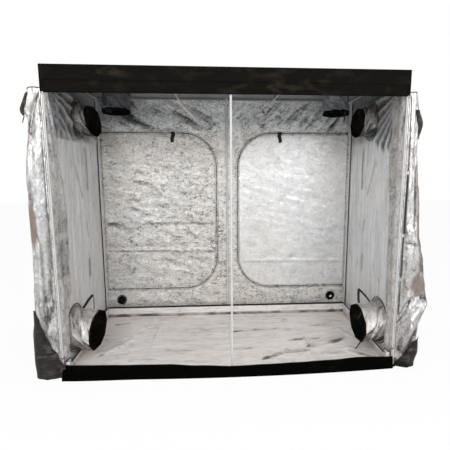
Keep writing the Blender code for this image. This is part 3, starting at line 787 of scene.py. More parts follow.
def turned(profile: Sequence[tuple[float, float]], centre: Vector, axis: Vector, steps: int) -> Skin:
    """A ring spun from a closed profile.

    Args:
        profile: Points as distance out from the axis and height along it.
        centre: The middle of the ring.
        axis: The way that it looks.
        steps: Steps in the whole turn.

    Returns:
        The closed ring.
    """
    bm = bmesh.new()
    corners = [bm.verts.new((out, 0, up)) for out, up in profile]
    edges = [bm.edges.new(pair) for pair in zip(corners, corners[1:] + corners[:1])]
    bmesh.ops.spin(
        bm, geom=corners + edges, cent=(0, 0, 0), axis=(0, 0, 1), angle=2 * math.pi, steps=steps,
        use_merge=True,
    )
    return aimed(outward(bm), centre, axis)


def round_profile(out: float, radius: float, sides: int = 10) -> list[tuple[float, float]]:
    """The round section of a piping, at a distance out from its axis."""
    turn = 2 * math.pi / sides
    return [(out + radius * math.cos(i * turn), radius * math.sin(i * turn)) for i in range(sides)]


def block(size: Sequence[float], taper: float, up: int, bevel: float, centre: Sequence[float]) -> Skin:
    """A small block with rounded edges that narrows towards one end.

    Args:
        size: Its size along each axis.
        taper: The width of the narrow end, as a share of the other.
        up: 1 where the narrow end is on top, -1 where it is below.
        bevel: The radius of its edges.
        centre: Its middle.

    Returns:
        The closed block.
    """
    bm = bmesh.new()
    bmesh.ops.create_cube(bm, size=1)
    bmesh.ops.scale(bm, vec=Vector(size), verts=bm.verts)
    bmesh.ops.scale(bm, vec=Vector((taper, 1, 1)), verts=[v for v in bm.verts if v.co.z * up > 0])
    bmesh.ops.bevel(
        bm, geom=list(bm.edges), offset=bevel, offset_type="OFFSET", segments=3, profile=0.5, affect="EDGES",
        material=-1,
    )
    bmesh.ops.translate(bm, verts=bm.verts, vec=Vector(centre))
    return bm


def smooth_route(points: Sequence[Sequence[float]], steps: int) -> list[Vector]:
    """Points on a smooth curve through a route's own points."""
    route = [Vector(p) for p in points]
    route = [2 * route[0] - route[1]] + route + [2 * route[-1] - route[-2]]
    smooth = []
    for a, b, c, d in zip(route, route[1:], route[2:], route[3:]):
        for i in range(steps):
            t = i / steps
            bend = (2 * a - 5 * b + 4 * c - d) * t * t + (3 * b - a - 3 * c + d) * t**3
            smooth.append((2 * b + (c - a) * t + bend) / 2)
    return smooth + [route[-2]]


def line_length(points: Sequence[Vector]) -> float:
    """The length of a line through points."""
    return sum((b - a).length for a, b in zip(points, points[1:]))


def tube(name: str, points: Sequence[Vector], radius: float, finish: Finish,
         body: str = CANOPY) -> Item:
    """A round cord or piping along points, as a curve with filled ends."""
    curve = bpy.data.curves.new(name, "CURVE")
    curve.dimensions = "3D"
    curve.bevel_depth = radius
    curve.bevel_resolution = 3
    curve.use_fill_caps = True
    spline = curve.splines.new("POLY")
    spline.points.add(len(points) - 1)
    for spot, point in zip(spline.points, points):
        spot.co = (*point, 1)
    item = bpy.data.objects.new(name, curve)
    curve.materials.append(finish)
    bpy.context.scene.collection.objects.link(item)
    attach(item, body)
    log.info("%s: %d points", name, len(points))
    return item


def seam(name: str, steps: int, place: Callable[[float], Vector], radius: float, finish: Finish) -> Item:
    """A cord or piping along a line that is read at even shares from 0 to 1."""
    return tube(name, [place(i / steps) for i in range(steps + 1)], radius, finish)


@dataclass
class Studio:
    """The camera of the photograph, soft lights and a pale floor."""

    place: tuple[float, float, float] = (-0.09686, -3.41195, 1.47882)
    pitch: float = 0.15935
    yaw: float = 0.06938
    focal: float = 408.432
    middle: tuple[float, float] = (245.652, 233.822)
    picture: float = 450.0
    sensor: float = 36.0
    floor_size: float = 30.0
    world_level: float = 0.56
    floor_fade: float = 0.93
    lamps: tuple = (
        ("key", (-1.7, -5.0, 2.95), (0, 0.3, 0.7), 1.8, 150.0),
        ("fill", (2.2, -4.8, 2.85), (0, 0.4, 0.7), 1.8, 100.0),
        ("top", (0.5, 1.0, 5.2), (0, 0, 1), 3.0, 45.0),
    )

    def camera(self) -> Item:
        """Makes the camera, with the picture's middle where the photograph has it."""
        data = bpy.data.cameras.new("camera")
        data.sensor_width = self.sensor
        data.lens = self.focal * self.sensor / self.picture
        data.shift_x = (self.picture / 2 - self.middle[0]) / self.picture
        data.shift_y = (self.middle[1] - self.picture / 2) / self.picture
        item = bpy.data.objects.new("camera", data)
        item.location = self.place
        item.rotation_euler = (math.pi / 2 - self.pitch, 0, -self.yaw)
        bpy.context.scene.collection.objects.link(item)
        bpy.context.scene.camera = item
        return item

    def lamp(self, name: str, place: Sequence[float], target: Sequence[float], size: float,
             power: float) -> None:
        """Adds one soft square lamp that looks at a target."""
        data = bpy.data.lights.new(name, "AREA")
        data.shape = "SQUARE"
        data.size = size
        data.energy = power
        item = bpy.data.objects.new(name, data)
        item.location = place
        item.rotation_euler = (Vector(target) - Vector(place)).to_track_quat("-Z", "Y").to_euler()
        bpy.context.scene.collection.objects.link(item)

    def seen(self, tree: bpy.types.NodeTree) -> bpy.types.NodeSocket:
        """The share of a ray that should see plain white: camera, glossy and transmission rays."""
        path = tree.nodes.new("ShaderNodeLightPath")
        total = path.outputs["Is Camera Ray"]
        for name in ("Is Glossy Ray", "Is Transmission Ray"):
            most = tree.nodes.new("ShaderNodeMath")
            most.operation = "MAXIMUM"
            tree.links.new(total, most.inputs[0])
            tree.links.new(path.outputs[name], most.inputs[1])
            total = most.outputs[0]
        return total

    def world(self) -> None:
        """A plain world: soft light, and white where it is seen."""
        world = bpy.data.worlds.new("studio")
        bpy.context.scene.world = world
        world.use_nodes = True
        tree = world.node_tree
        light = tree.nodes["Background"]
        light.inputs["Color"].default_value = (1, 1, 1, 1)
        light.inputs["Strength"].default_value = self.world_level
        white = tree.nodes.new("ShaderNodeBackground")
        white.inputs["Color"].default_value = (1, 1, 1, 1)
        white.inputs["Strength"].default_value = 1.0
        mix = tree.nodes.new("ShaderNodeMixShader")
        tree.links.new(self.seen(tree), mix.inputs[0])
        tree.links.new(light.outputs[0], mix.inputs[1])
        tree.links.new(white.outputs[0], mix.inputs[2])
        tree.links.new(mix.outputs[0], tree.nodes["World Output"].inputs["Surface"])

    def floor(self) -> None:
        """A pale floor that keeps a soft shadow and fades to white for the camera."""
        bm = bmesh.new()
        bmesh.ops.create_grid(bm, x_segments=1, y_segments=1, size=self.floor_size / 2)
        item = bpy.data.objects.new("floor", to_mesh(bm, "floor"))
        material = bpy.data.materials.new("pale_floor")
        material.use_nodes = True
        tree = material.node_tree
        shader = tree.nodes["Principled BSDF"]
        shader.inputs["Base Color"].default_value = (0.9, 0.9, 0.9, 1)
        shader.inputs["Roughness"].default_value = 0.9
        glow = tree.nodes.new("ShaderNodeEmission")
        glow.inputs["Color"].default_value = (1, 1, 1, 1)
        mix = tree.nodes.new("ShaderNodeMixShader")
        share = tree.nodes.new("ShaderNodeMath")
        share.operation = "MULTIPLY"
        share.inputs[1].default_value = self.floor_fade
        tree.links.new(self.seen(tree), share.inputs[0])
        tree.links.new(share.outputs[0], mix.inputs[0])
        tree.links.new(shader.outputs[0], mix.inputs[1])
        tree.links.new(glow.outputs[0], mix.inputs[2])
        tree.links.new(mix.outputs[0], tree.nodes["Material Output"].inputs["Surface"])
        item.data.materials.append(material)
        bpy.context.scene.collection.objects.link(item)

    def build(self) -> None:
        """Sets the whole stage."""
        self.camera()
        self.world()
        self.floor()
        for lamp in self.lamps:
            self.lamp(*lamp)
        bpy.context.scene.view_settings.view_transform = "Standard"
        log.info("stage set")


@dataclass
class StayCord:
    """A short cord from each low sleeve's ring, hitched round the front corner post."""

    side: Side
    radius: float = 0.0025
    steps: int = 2
    hitch_radius: float = 0.0096
    hitch_cord: float = 0.0019
    route: tuple = (
        (1.2157, -0.44307, 0.16191),
        (1.2155, -0.45200, 0.15736),
        (1.2125, -0.47900, 0.14550),
        (1.2100, -0.51700, 0.13800),
        (1.2085, -0.55600, 0.13900),
        (1.2075, -0.57600, 0.14150),
        (1.2075, -0.58300, 0.14180),
        (1.2075, -0.58920, 0.14180),
    )

    def build(self, finishes: Finishes) -> Item:
        """Makes the cord and its hitch round the post."""
        points = smooth_route([(self.side.value * x, y, z) for x, y, z in self.route], self.steps)
        name = f"stay_cord_{self.side.word}"
        cord = tube(f"{name}_line", points, self.radius, finishes.webbing)
        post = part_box(f"corner_post_front_{self.side.word}")
        centre = (post[0] + post[1]) / 2
        turns = []
        for rise in (-self.hitch_cord, self.hitch_cord):
            middle = Vector((centre.x, centre.y, points[-1].z + rise))
            turns.append(turned(round_profile(self.hitch_radius, self.hitch_cord), middle, Z, 24))
        hitch = piece(f"{name}_hitch", joined(turns, f"{name}_hitch"), [finishes.webbing], "black_webbing")
        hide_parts(name)
        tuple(points[0])
        line_length(points)
        return cord


def joined(parts: Sequence[Skin], name: str, angle: float = 40.0) -> Mesh:
    """One mesh from several, which are used up."""
    whole = bmesh.new()
    for part in parts:
        mesh = bpy.data.meshes.new("part")
        part.to_mesh(mesh)
        part.free()
        whole.from_mesh(mesh)
        bpy.data.meshes.remove(mesh)
    return to_mesh(whole, name, angle)


def rectangle(low: Sequence[float], high: Sequence[float], across: Vector, up: Vector, base: Vector,
              step: float) -> Skin:
    """A flat grid of cloth between two corners of a plane.

    Args:
        low: The lowest corner in the plane.
        high: The highest corner.
        across: The plane's first direction.
        up: Its second direction.
        base: A point of the plane.
        step: The size of the grid's squares.

    Returns:
        The grid.
    """
    width, height = high[0] - low[0], high[1] - low[1]
    columns, rows = max(1, round(width / step)), max(1, round(height / step))

    def place(u: float, v: float) -> Vector:
        """A point of the grid."""
        return base + across * (low[0] + u * width) + up * (low[1] + v * height)

    return skin(columns, rows, place)


def edge_mask(a: float, b: float, low: Sequence[float], high: Sequence[float], fade: float) -> float:
    """Falls from 1 inside a rectangle to 0 at its edges."""
    near = min(a - low[0], high[0] - a, b - low[1], high[1] - b)
    return smooth_step(near, 0, fade)


def waver(x: float, y: float, z: float) -> float:
    """Smooth noise, from about -1 to 1."""
    return noise.noise(Vector((x, y, z)))


def ridges(x: float, y: float, z: float, octaves: int = 3) -> float:
    """Sharp ridges of noise, from about -1 to 1."""
    return (noise.ridged_multi_fractal(Vector((x, y, z)), 1.0, 2.0, octaves, 1.0, 2.0) - 1.04) / 0.68


def crush(x: float, y: float, z: float, octaves: int = 3) -> float:
    """Rounded dents with sharp creases, from about -0.5 to 1."""
    return noise.turbulence(Vector((x, y, z)), octaves, True) * 1.6 - 0.64


def facets(x: float, y: float, z: float) -> float:
    """Flat-sided dents with sharp ridges between them, from about -0.5 to 0.5."""
    point = Vector((x, y, z))
    return noise.voronoi(point + 0.35 * noise.noise_vector(point * 1.3))[0][0] - 0.5


@dataclass(frozen=True)
class Port:
    """A round duct hole in a wall or the roof."""

    level: Level
    across: float
    up: float
    radius: float
    reach: float
    half_width: float
    half_height: float
    shift: float = 0.0


LOWER_PORT = Port(Level.LOWER, -0.28, 0.245, 0.175, 0.175, 0.19, 0.16, 0.02)
UPPER_PORT = Port(Level.UPPER, 0.09, 1.87, 0.145, 0.12, 0.16, 0.13, 0.015)
ROOF_PORT = Port(Level.ROOF, 0.905, 0.12, 0.12, 0.172, 0.118, 0.108)


@dataclass
class SideWall:
    """A side wall: black canvas outside, silver inside, with two duct holes."""

    side: Side
    step: float = 0.011
    fade: float = 0.07
    fan: tuple[float, float] = (-0.60, 2.05)
    fan_depth: float = 0.026
    # Each crease: its line, its height, and the painted shade along it.
    creases: tuple = (
        (((0.225, 1.64), (0.232, 1.48), (0.224, 1.30)), 0.010, 0.75),
        (((-0.067, 1.52), (0.02, 1.36), (0.085, 1.24)), 0.008, 0.45),
        (((0.116, 1.70), (0.125, 1.50)), 0.006, 0.40),
        (((0.132, 1.02), (0.165, 0.90)), 0.006, 0.60),
        (((0.150, 0.70), (0.150, 0.56)), 0.006, 0.55),
        (((0.385, 1.60), (0.375, 1.15)), 0.005, 0.30),
    )

    def fan_fold(self, place: Vector) -> tuple[float, float]:
        """The folds that fan out from the top front corner.

        Args:
            place: A point of the flat wall.

        Returns:
            The fold's height share, and how strongly the fan shows there.
        """
        seed = 3.0 * self.side.value
        run = Vector((place.y - self.fan[0], place.z - self.fan[1]))
        angle = math.atan2(run.x, -run.y)
        fold = abs(math.sin(angle * 19 + 1.6 * waver(seed, angle * 2.5, run.length * 1.5)))
        floor = 1.69 if self.side is Side.LEFT else 1.60 + 0.16 * smooth_step(place.y, -0.2, 0.2)
        shown = smooth_step(run.length, 0.03, 0.25) * smooth_step(place.z, floor - 0.02, floor + 0.05)
        return 1 - fold, shown * (0.55 + 0.45 * (1 - smooth_step(run.length, 0.5, 0.9)))

    def hollow(self, place: Vector, normal: Vector) -> float:
        """The painted shade of the cloth: in the fan's valleys, along its creases, on slopes that turn
        sideways, and in a line at 1.70 m on the left.
        """
        rise, shown = self.fan_fold(place)
        dark = 0.85 * smooth_step(1 - rise, 0.25, 0.85) * shown + 0.4 * smooth_step(abs(normal.y), 0.12, 0.6)
        for line, _, shade in self.creases:
            dark += shade * bell(near_line((place.y, place.z), line), 0.012)
        if self.side is Side.LEFT:
            dark += 0.35 * bell(place.z - 1.70, 0.012) * smooth_step(-place.y, -0.25, 0.0)
        return dark

    def depth(self, place: Vector, low: Vector, high: Vector) -> float:
        """How far the cloth stands into the tent at a place.

        Args:
            place: A point of the flat wall.
            low: The wall's lowest corner.
            high: Its highest corner.

        Returns:
            The distance in metres.
        """
        seed = 3.0 * self.side.value
        mask = edge_mask(place.y, place.z, (low.y, low.z), (high.y, high.z), self.fade)
        for port in (LOWER_PORT, UPPER_PORT):
            reach = math.hypot(place.y - port.across, place.z - port.up) - port.radius
            mask *= smooth_step(reach, 0.004, 0.05)
        wide = waver(seed, place.y * 2.6, place.z * 1.1)
        pleat = ridges(seed, place.y * 9, place.z * 0.8, 2)
        fine = crush(seed, place.y * 16, place.z * 5)
        depth = 0.005 * wide + 0.0055 * pleat + 0.0012 * fine
        for line, height, _ in self.creases:
            depth += height * bell(near_line((place.y, place.z), line), 0.018)
        rise, shown = self.fan_fold(place)
        return (depth + self.fan_depth * rise * shown) * mask

    def build(self, finishes: Finishes) -> Item:
        """Makes the wall, wrinkled between its seams."""
        name = f"wall_{self.side.word}"
        low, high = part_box(name)
        middle = (low.x + high.x) / 2
        out = X * self.side.value
        bm = rectangle((low.y, low.z), (high.y, high.z), Y, Z, X * middle, self.step)
        mesh = to_mesh(facing(bm, out), name)
        pegs = [peg(p.radius, Vector((middle, p.across, p.up)), X) for p in (LOWER_PORT, UPPER_PORT)]
        mesh = solved(mesh, pegs, "DIFFERENCE")
        pressed(mesh, -out, lambda place: self.depth(place, low, high))
        marked(mesh, self.hollow)
        linings = [finishes.canvas, finishes.side]
        wall = piece(f"{name}_cloth", mesh, linings, "silver_lining", replaces=[name])
        thicken(wall, WALL_CLOTH)
        return wall


@dataclass
class ZipFlap:
    """The slack strip of lining behind each front zip, and the zip's tape and teeth."""

    side: Side
    bottom: float = 0.12
    top: float = 2.07
    stand_off: float = 0.005
    setback: float = 0.028
    thickness: float = 0.0012
    tape_x: float = 1.2190
    tape_foot: float = 0.05
    tape_length: float = 1.91
    tape_width: float = 0.011
    tape_thickness: float = 0.0014
    teeth_width: float = 0.0032
    teeth_proud: float = 0.0013
    left_edge: tuple = (-0.480, -0.468, -0.385, -0.365, -0.362, -0.390, -0.435, -0.505, -0.575)
    right_edge: tuple = (-0.480, -0.470, -0.450, -0.440, -0.430, -0.410, -0.395, -0.378, -0.360)

    def build(self, finishes: Finishes) -> None:
        """Makes the strip, the tape and the teeth."""
        word, out = self.side.word, self.side.value
        low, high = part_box(f"wall_{word}")
        inner = low.x if out > 0 else high.x
        front = low.y + self.setback
        free = self.left_edge if self.side is Side.LEFT else self.right_edge
        seed = 11.0 * out

        def hang(u: float, v: float) -> Vector:
            """A point of the strip: sewn at its front edge, free at its back edge."""
            z = self.bottom + v * (self.top - self.bottom)
            slack = smooth_step(u, 0.03, 0.4)
            edge = waver(seed, 0, z * 3.1) * 0.014 * u
            buckle = facets(seed, u * 1.6, z * 8.0)
            wave = math.sin(u * 8 + 2.5 * waver(seed, 5.0, z * 1.6))
            stand = self.stand_off + slack * (0.013 + 0.014 * buckle + 0.006 * wave)
            return Vector((inner - out * stand, front + u * (along_shares(free, v) - front) + edge, z))

        def dark(place: Vector, normal: Vector) -> float:
            """The painted shade: on slopes, towards the free edge on the right, and on the left towards the
            free edge, most in two bands of height.
            """
            slope = 0.55 * smooth_step(abs(normal.z), 0.10, 0.5)
            if self.side is Side.RIGHT:
                return slope + 0.25 * smooth_step(place.y, front + 0.04, front + 0.12)
            back = smooth_step(place.y, front + 0.01, front + 0.07)
            deep = smooth_step(place.z, 0.70, 0.72) * (1 - smooth_step(place.z, 0.93, 1.00))
            upper = smooth_step(place.z, 1.01, 1.03) * (1 - smooth_step(place.z, 1.08, 1.20))
            return 0.6 * slope + back * (0.34 * deep + 0.30 * upper + 0.10)

        mesh = marked(to_mesh(facing(skin(20, 190, hang), X * out), "zip_flap"), dark)
        strip = piece(f"zip_flap_{word}", mesh, [finishes.canvas, finishes.flap], "silver_lining")
        thicken(strip, self.thickness)
        width = sum(free) / len(free) - front
        self.top - self.bottom
        edge_x, outer_y = out * self.tape_x, low.y - 0.0008

        def tape(u: float, v: float) -> Vector:
            """A point of the zip tape on the wall's front edge."""
            z = self.tape_foot + v * self.tape_length
            sway = 0.0012 * waver(seed, 9.0, z * 4)
            return Vector((edge_x - out * (u * self.tape_width) + sway, outer_y, z))

        bm = facing(skin(2, 90, tape), -Y)
        plain(f"front_zip_tape_{word}", bm, finishes.flap, "silver_lining", self.tape_thickness, offset=1.0)

        def teeth(u: float, v: float) -> Vector:
            """A point of the rounded row of teeth."""
            angle = 2 * math.pi * u
            lift = Vector((self.teeth_width / 2 * math.cos(angle), -self.teeth_proud * math.sin(angle), 0))
            return tape(0.30, v) + lift + Vector((0, -0.0015, 0))

        bm = skin(10, 260, teeth)
        bmesh.ops.holes_fill(bm, edges=bm.edges)
        plain(f"front_zip_teeth_{word}", outward(bm), finishes.coil, "black_zip")


@dataclass
class BackWall:
    """The back wall, its two D-shaped doors, their zips, ties and sliders, and the cable ports."""

    step: float = 0.014
    hinge: float = 1.19
    centre_edge: float = 0.103
    top: float = 1.809
    bottom: float = 0.287
    corner: float = 0.32
    zip_gap: float = 0.0008
    tape: float = 0.016
    tape_thickness: float = 0.0012
    stitch: float = 0.0022
    teeth: float = 0.0042
    teeth_thickness: float = 0.0028
    stitch_thickness: float = 0.0007
    fade: float = 0.05
    margin: float = 0.02
    left_slack: float = 1.0
    right_slack: float = 0.6
    tie_widening: float = 1.55
    tie_thickness: float = 0.0022
    cable_x: float = 1.06
    cable_z: float = 0.175
    cable_radius: float = 0.038
    flange_y: float = 0.6068
    tuck_line: tuple = ((-0.462, 2.112), (-0.102, 1.746))
    creases: tuple = (
        ((-1.15, 0.962), (-0.13, 0.955), 0.0045),
        ((-1.15, 0.686), (-0.13, 0.676), 0.0060),
        ((0.16, 0.560), (1.17, 0.550), 0.0055),
    )

    def outline(self, out: int, grow: float) -> Skin:
        """The D of a door as one face.

        Args:
            out: The door's side, -1 or 1.
            grow: How far its edge lies outside the zip's line.

        Returns:
            A flat face in the XZ plane.
        """
        edge = self.centre_edge - grow
        top, bottom = self.top + grow, self.bottom - grow
        bm = bmesh.new()
        corners = [(self.hinge, top), (edge, top), (edge, bottom), (self.hinge, bottom)]
        verts = [bm.verts.new((out * x, 0, z)) for x, z in corners]
        bm.faces.new(verts)
        bmesh.ops.bevel(
            bm, geom=verts[1:3], offset=self.corner + grow, offset_type="OFFSET", segments=16, profile=0.5,
            affect="VERTICES", material=-1,
        )
        return bm

    def prism(self, out: int, grow: float) -> Skin:
        """A closed cutter in the shape of a door."""
        bm = self.outline(out, grow)
        grown = bmesh.ops.extrude_face_region(bm, geom=list(bm.faces))
        moved = [v for v in grown["geom"] if isinstance(v, bmesh.types.BMVert)]
        bmesh.ops.translate(bm, verts=moved, vec=Y * 0.2)
        bmesh.ops.translate(bm, verts=bm.verts, vec=Y * 0.5)
        return bm

    def line_off(self, place: Vector) -> float:
        """How far a place lies from the nearer door's zip line."""
        x = abs(place.x)
        middle = Vector((self.centre_edge + self.corner, 0))
        dx = middle.x - x
        upper, lower = self.top - self.corner, self.bottom + self.corner
        if dx > 0 and place.z > upper:
            return abs(math.hypot(dx, place.z - upper) - self.corner)
        if dx > 0 and place.z < lower:
            return abs(math.hypot(dx, lower - place.z) - self.corner)
        inside = min(x - self.centre_edge, self.top - place.z, place.z - self.bottom)
        return abs(inside)

    def depth(self, place: Vector, low: Vector, high: Vector) -> float:
        """How far the cloth stands into the tent at a place."""
        mask = edge_mask(place.x, place.z, (low.x, low.z), (high.x, high.z), 0.06)
        mask *= smooth_step(self.line_off(place), 0.008, self.fade)
        mask *= smooth_step(place.z, 0.10, 0.16)
        mask *= smooth_step(abs(place.x), 0.008, 0.035)
        cable = math.hypot(abs(place.x) - self.cable_x, place.z - self.cable_z) - self.cable_radius
        mask *= smooth_step(cable, 0.004, 0.03)
        mask *= smooth_step(line_distance((place.x, place.z), *self.tuck_line), 0.017, 0.050)
        wide = waver(place.x * 3.0, 7.0, place.z * 2.4)
        dents = crush(place.x * 5, 2.0, place.z * 7, 4)
        tilt = place.z + 0.25 * place.x
        bands = ridges(place.x * 1.6, 4.0, tilt * 9, 2)
        low_down = 1 - smooth_step(place.z, 0.9, 1.7)
        crisp = 0.5 - facets(place.x * 8, 6.0, tilt * 12)
        rough = 0.0050 + 0.0020 * smooth_step(-place.x, -0.1, 0.4)
        depth = 0.004 * wide + 0.0034 * dents + (0.0010 + 0.0020 * low_down) * bands + rough * crisp
        scale = ridges(place.x * 6.5, 4.5, tilt * 13, 4) * smooth_step(place.z, 0.55, 0.9)
        depth += 0.0038 * scale * (1 - smooth_step(place.z, 1.60, 1.8)) * smooth_step(-place.x, 0.0, 0.3)
        depth += 0.009 * self.streak(place)
        for start, end, height in self.creases:
            depth += 1.3 * height * bell(line_distance((place.x, place.z), start, end), 0.010)
        return depth * mask

    def streak(self, place: Vector) -> float:
        """The slanting pulls in the cloth above the doors, from -1 to 1."""
        shown = smooth_step(place.z, 1.79, 1.88)
        if place.x > -0.05:
            pulls = ridges((place.x - place.z) * 11, 3.0, (place.x + place.z) * 1.6, 4)
            return 1.3 * pulls * shown * smooth_step(place.x, -0.05, 0.3)
        pulls = ridges((0.5 * place.x + place.z) * 10, 5.0, place.x * 1.8, 4)
        return 1.2 * pulls * shown * smooth_step(-place.x, 0.05, 0.2)

    def hollow(self, place: Vector, normal: Vector) -> float:
        """The painted shade of the cloth: where it looks down, between the pulls above the doors, in a line
        just under each crease, and in the top left corner.
        """
        dark = 0.9 * smooth_step(normal.z, 0.06, 0.34) + 0.6 * max(0.0, -self.streak(place))
        for start, end, height in self.creases:
            dark += 0.30 * bell(line_distance((place.x, place.z + 0.015), start, end), 0.012)
        dark += 0.7 * smooth_step(-place.x, 0.78, 0.92) * smooth_step(place.z, 1.82, 1.95)
        return dark

    def strip(self, out: int, inner: float, width: float) -> Skin:
        """A flat strip that follows the zip's line round three sides of a door.

        Args:
            out: The door's side.
            inner: How far the strip's inner edge lies outside the line.
            width: The strip's width.

        Returns:
            The strip in the XZ plane.
        """
        bm = self.outline(out, inner + width)
        bmesh.ops.inset_region(
            bm, faces=list(bm.faces), thickness=width, use_even_offset=True, use_boundary=True,
        )
        largest = max(bm.faces, key=lambda face: face.calc_area())
        limit = self.hinge - width * 1.01
        hinge_side = [f for f in bm.faces if f is not largest and abs(f.calc_center_median().x) > limit]
        bmesh.ops.delete(bm, geom=[largest] + hinge_side, context="FACES")
        long_edges = [e for e in bm.edges if e.calc_length() > 0.1]
        bmesh.ops.subdivide_edges(bm, edges=long_edges, cuts=24, use_grid_fill=True)
        return bm

    def zips(self, side: Side, inner_y: float, finishes: Finishes) -> None:
        """Lays both halves of a door's zip: tape and teeth on the wall, and on the door."""
        word, out = side.word, side.value
        proud_y, outer = inner_y - self.tape_thickness, self.tape - self.stitch
        rows = (
            ("tape", self.tape, 0.0, inner_y, self.tape_thickness, finishes.back, "silver_lining"),
            ("teeth", self.teeth, 0.0, proud_y, self.teeth_thickness, finishes.coil, "black_zip"),
            ("stitching", self.stitch, outer, proud_y, self.stitch_thickness, finishes.coil, "black_zip"),
        )
        for half, way, body in (("wall", 1, CANOPY), ("door", -1, f"back_door_{word}")):
            for kind, width, away, y, thickness, finish, slot in rows:
                near = self.zip_gap / 2 + away
                bm = self.strip(out, near if way > 0 else -near - width, width)
                bmesh.ops.translate(bm, verts=bm.verts, vec=Y * y)
                name = f"{half}_zip_{kind}_{word}"
                plain(name, facing(bm, -Y), finish, slot, thickness, body=body, offset=1.0)

    def tie(self, side: Side, finishes: Finishes) -> None:
        """A folded strap over the door's top edge, which ties the rolled door up."""
        out = side.value
        name = f"door_tie_{side.word}"
        low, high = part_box(name)
        width, tall, face = self.tie_widening * (high.x - low.x), high.z - low.z, high.y
        edge = (low.x + high.x - width) / 2

        def strap(u: float, v: float) -> Vector:
            """A point of the strap, which hangs from its sewn top and bows at its free end."""
            droop = v * v
            bow = 0.004 * math.sin(math.pi * v) + 0.006 * droop + 0.0015 * math.cos(math.pi * (u - 0.5) * 2)
            sway = 0.012 * droop * (1 if side is Side.RIGHT else -0.6) + 0.003 * math.sin(9 * v + out)
            x = edge + u * width * (1 - 0.25 * droop) + sway
            return Vector((x, face - 0.0015 - bow, high.z - v * tall))

        bm = facing(skin(6, 24, strap), -Y)
        item = plain(f"{name}_strap", bm, finishes.webbing, "black_webbing", self.tie_thickness, [name])

    def slider(self, side: Side, finishes: Finishes) -> None:
        """A zip slider with its bridge and a tapered pull."""
        name = f"zip_slider_{side.word}"
        low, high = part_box(name)
        x, y, z = (low.x + high.x) / 2, high.y, high.z
        plate = block((0.013, 0.0030, 0.022), 0.66, -1, 0.0009, (x, y - 0.0028, z - 0.011))
        bridge = block((0.0055, 0.0030, 0.015), 0.66, -1, 0.0009, (x, y - 0.0056, z - 0.011))
        pull = block((0.0075, 0.0018, 0.034), 0.7, 1, 0.0007, (x, y - 0.0062, z - 0.034))
        mesh = joined([plate, bridge, pull], name)
        piece(f"{name}_cast", mesh, [finishes.alloy], "black_zip", name, [name])

    def cable_port(self, side: Side, finishes: Finishes) -> None:
        """A gathered black sleeve with a rolled rim."""
        name = f"cable_port_{side.word}"
        low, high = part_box(name)
        centre = (low + high) / 2

        def gather(u: float, v: float) -> Vector:
            """A point of the small sleeve: flat flange outside, pleated neck, puckered mouth."""
            angle = 2 * math.pi * u
            flange = 1 - smooth_step(v, 0.0, 0.18)
            pucker = smooth_step(v, 0.40, 1.0)
            radius = self.cable_radius + 0.0075 * flange - (0.0364 if side is Side.LEFT else 0.027) * pucker
            frill = math.sin(angle * 15 + 3 * waver(math.cos(angle), math.sin(angle), 1))
            radius += 0.0022 * smooth_step(v, 0.2, 0.6) * (1 - pucker) * frill
            depth = 0.0012 + 0.026 * smooth_step(v, 0.12, 0.75) + 0.003 * pucker * frill
            y = low.y + 0.028 + 0.0022 - depth
            return Vector((centre.x + radius * math.cos(angle), y, centre.z + radius * math.sin(angle)))

        bm = outward(skin(90, 18, gather))
        item = plain(f"{name}_gather", bm, finishes.canvas, "black_canvas", 0.0014, [name], angle=60)
        rim = turned(round_profile(0.0055, 0.0022), Vector((centre.x, low.y + 0.0015, centre.z)), Y, 32)
        plain(f"{name}_rim", rim, finishes.webbing, "black_webbing")
        wide = self.cable_radius + (0.012 if side is Side.LEFT else 0.009) - 0.004
        ring = turned(round_profile(wide, 0.0032), Vector((centre.x, self.flange_y, centre.z)), Y, 40)
        for vert in ring.verts:
            out = Vector((vert.co.x - centre.x, 0, vert.co.z - centre.z))
            if out.length > wide:
                vert.co += out.normalized() * 0.003 * noise.noise(out.normalized() * 4)
        plain(f"{name}_flange", ring, finishes.canvas, "black_canvas")

    def build(self, finishes: Finishes) -> None:
        """Makes the wall and all that is on it."""
        low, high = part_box("wall_back")
        middle = (low.y + high.y) / 2
        grid = rectangle((low.x, low.z), (high.x, high.z), X, Z, Y * middle, self.step)
        mesh = to_mesh(facing(grid, Y), "wall_back")
        cutters = [self.prism(side.value, 0) for side in Side]
        for side in Side:
            place = Vector((side.value * self.cable_x, middle, self.cable_z))
            cutters.append(peg(self.cable_radius, place, Y))
        mesh = solved(mesh, cutters, "DIFFERENCE")
        pressed(mesh, -Y, lambda place: self.depth(place, low, high))
        marked(mesh, self.hollow)
        linings = [finishes.canvas, finishes.back]
        wall = piece("wall_back_cloth", mesh, linings, "silver_lining", replaces=["wall_back"])
        thicken(wall, WALL_CLOTH)
        width, height = high.x - low.x, high.z - low.z
        corner_loss = 2 * (1 - math.pi / 4) * self.corner**2
        door_flat = (self.hinge - self.centre_edge, self.top - self.bottom)
        door_area = door_flat[0] * door_flat[1] - corner_loss
        area = width * height - 2 * door_area
        for side in Side:
            word, out = side.word, side.value
            corners = sorted((out * (self.centre_edge - self.margin), out * self.hinge))
            under, over = (corners[0], self.bottom - self.margin), (corners[1], self.top + self.margin)
            flat = rectangle(under, over, X, Z, Y * middle, self.step)
            mesh = solved(to_mesh(facing(flat, Y), "door"), [self.prism(out, -self.zip_gap)], "INTERSECT")
            slack, lining = self.left_slack, finishes.back
            if side is Side.RIGHT:
                slack, lining = self.right_slack, finishes.right_door
            pressed(mesh, -Y, lambda place: slack * self.depth(place, low, high))
            marked(mesh, self.hollow)
            name = f"back_door_{word}"
            door = piece(f"{name}_cloth", mesh, [finishes.canvas, lining], "silver_lining", name, [name])
            thicken(door, WALL_CLOTH)
            self.zips(side, low.y, finishes)
            self.tie(side, finishes)
            self.slider(side, finishes)
            self.cable_port(side, finishes)
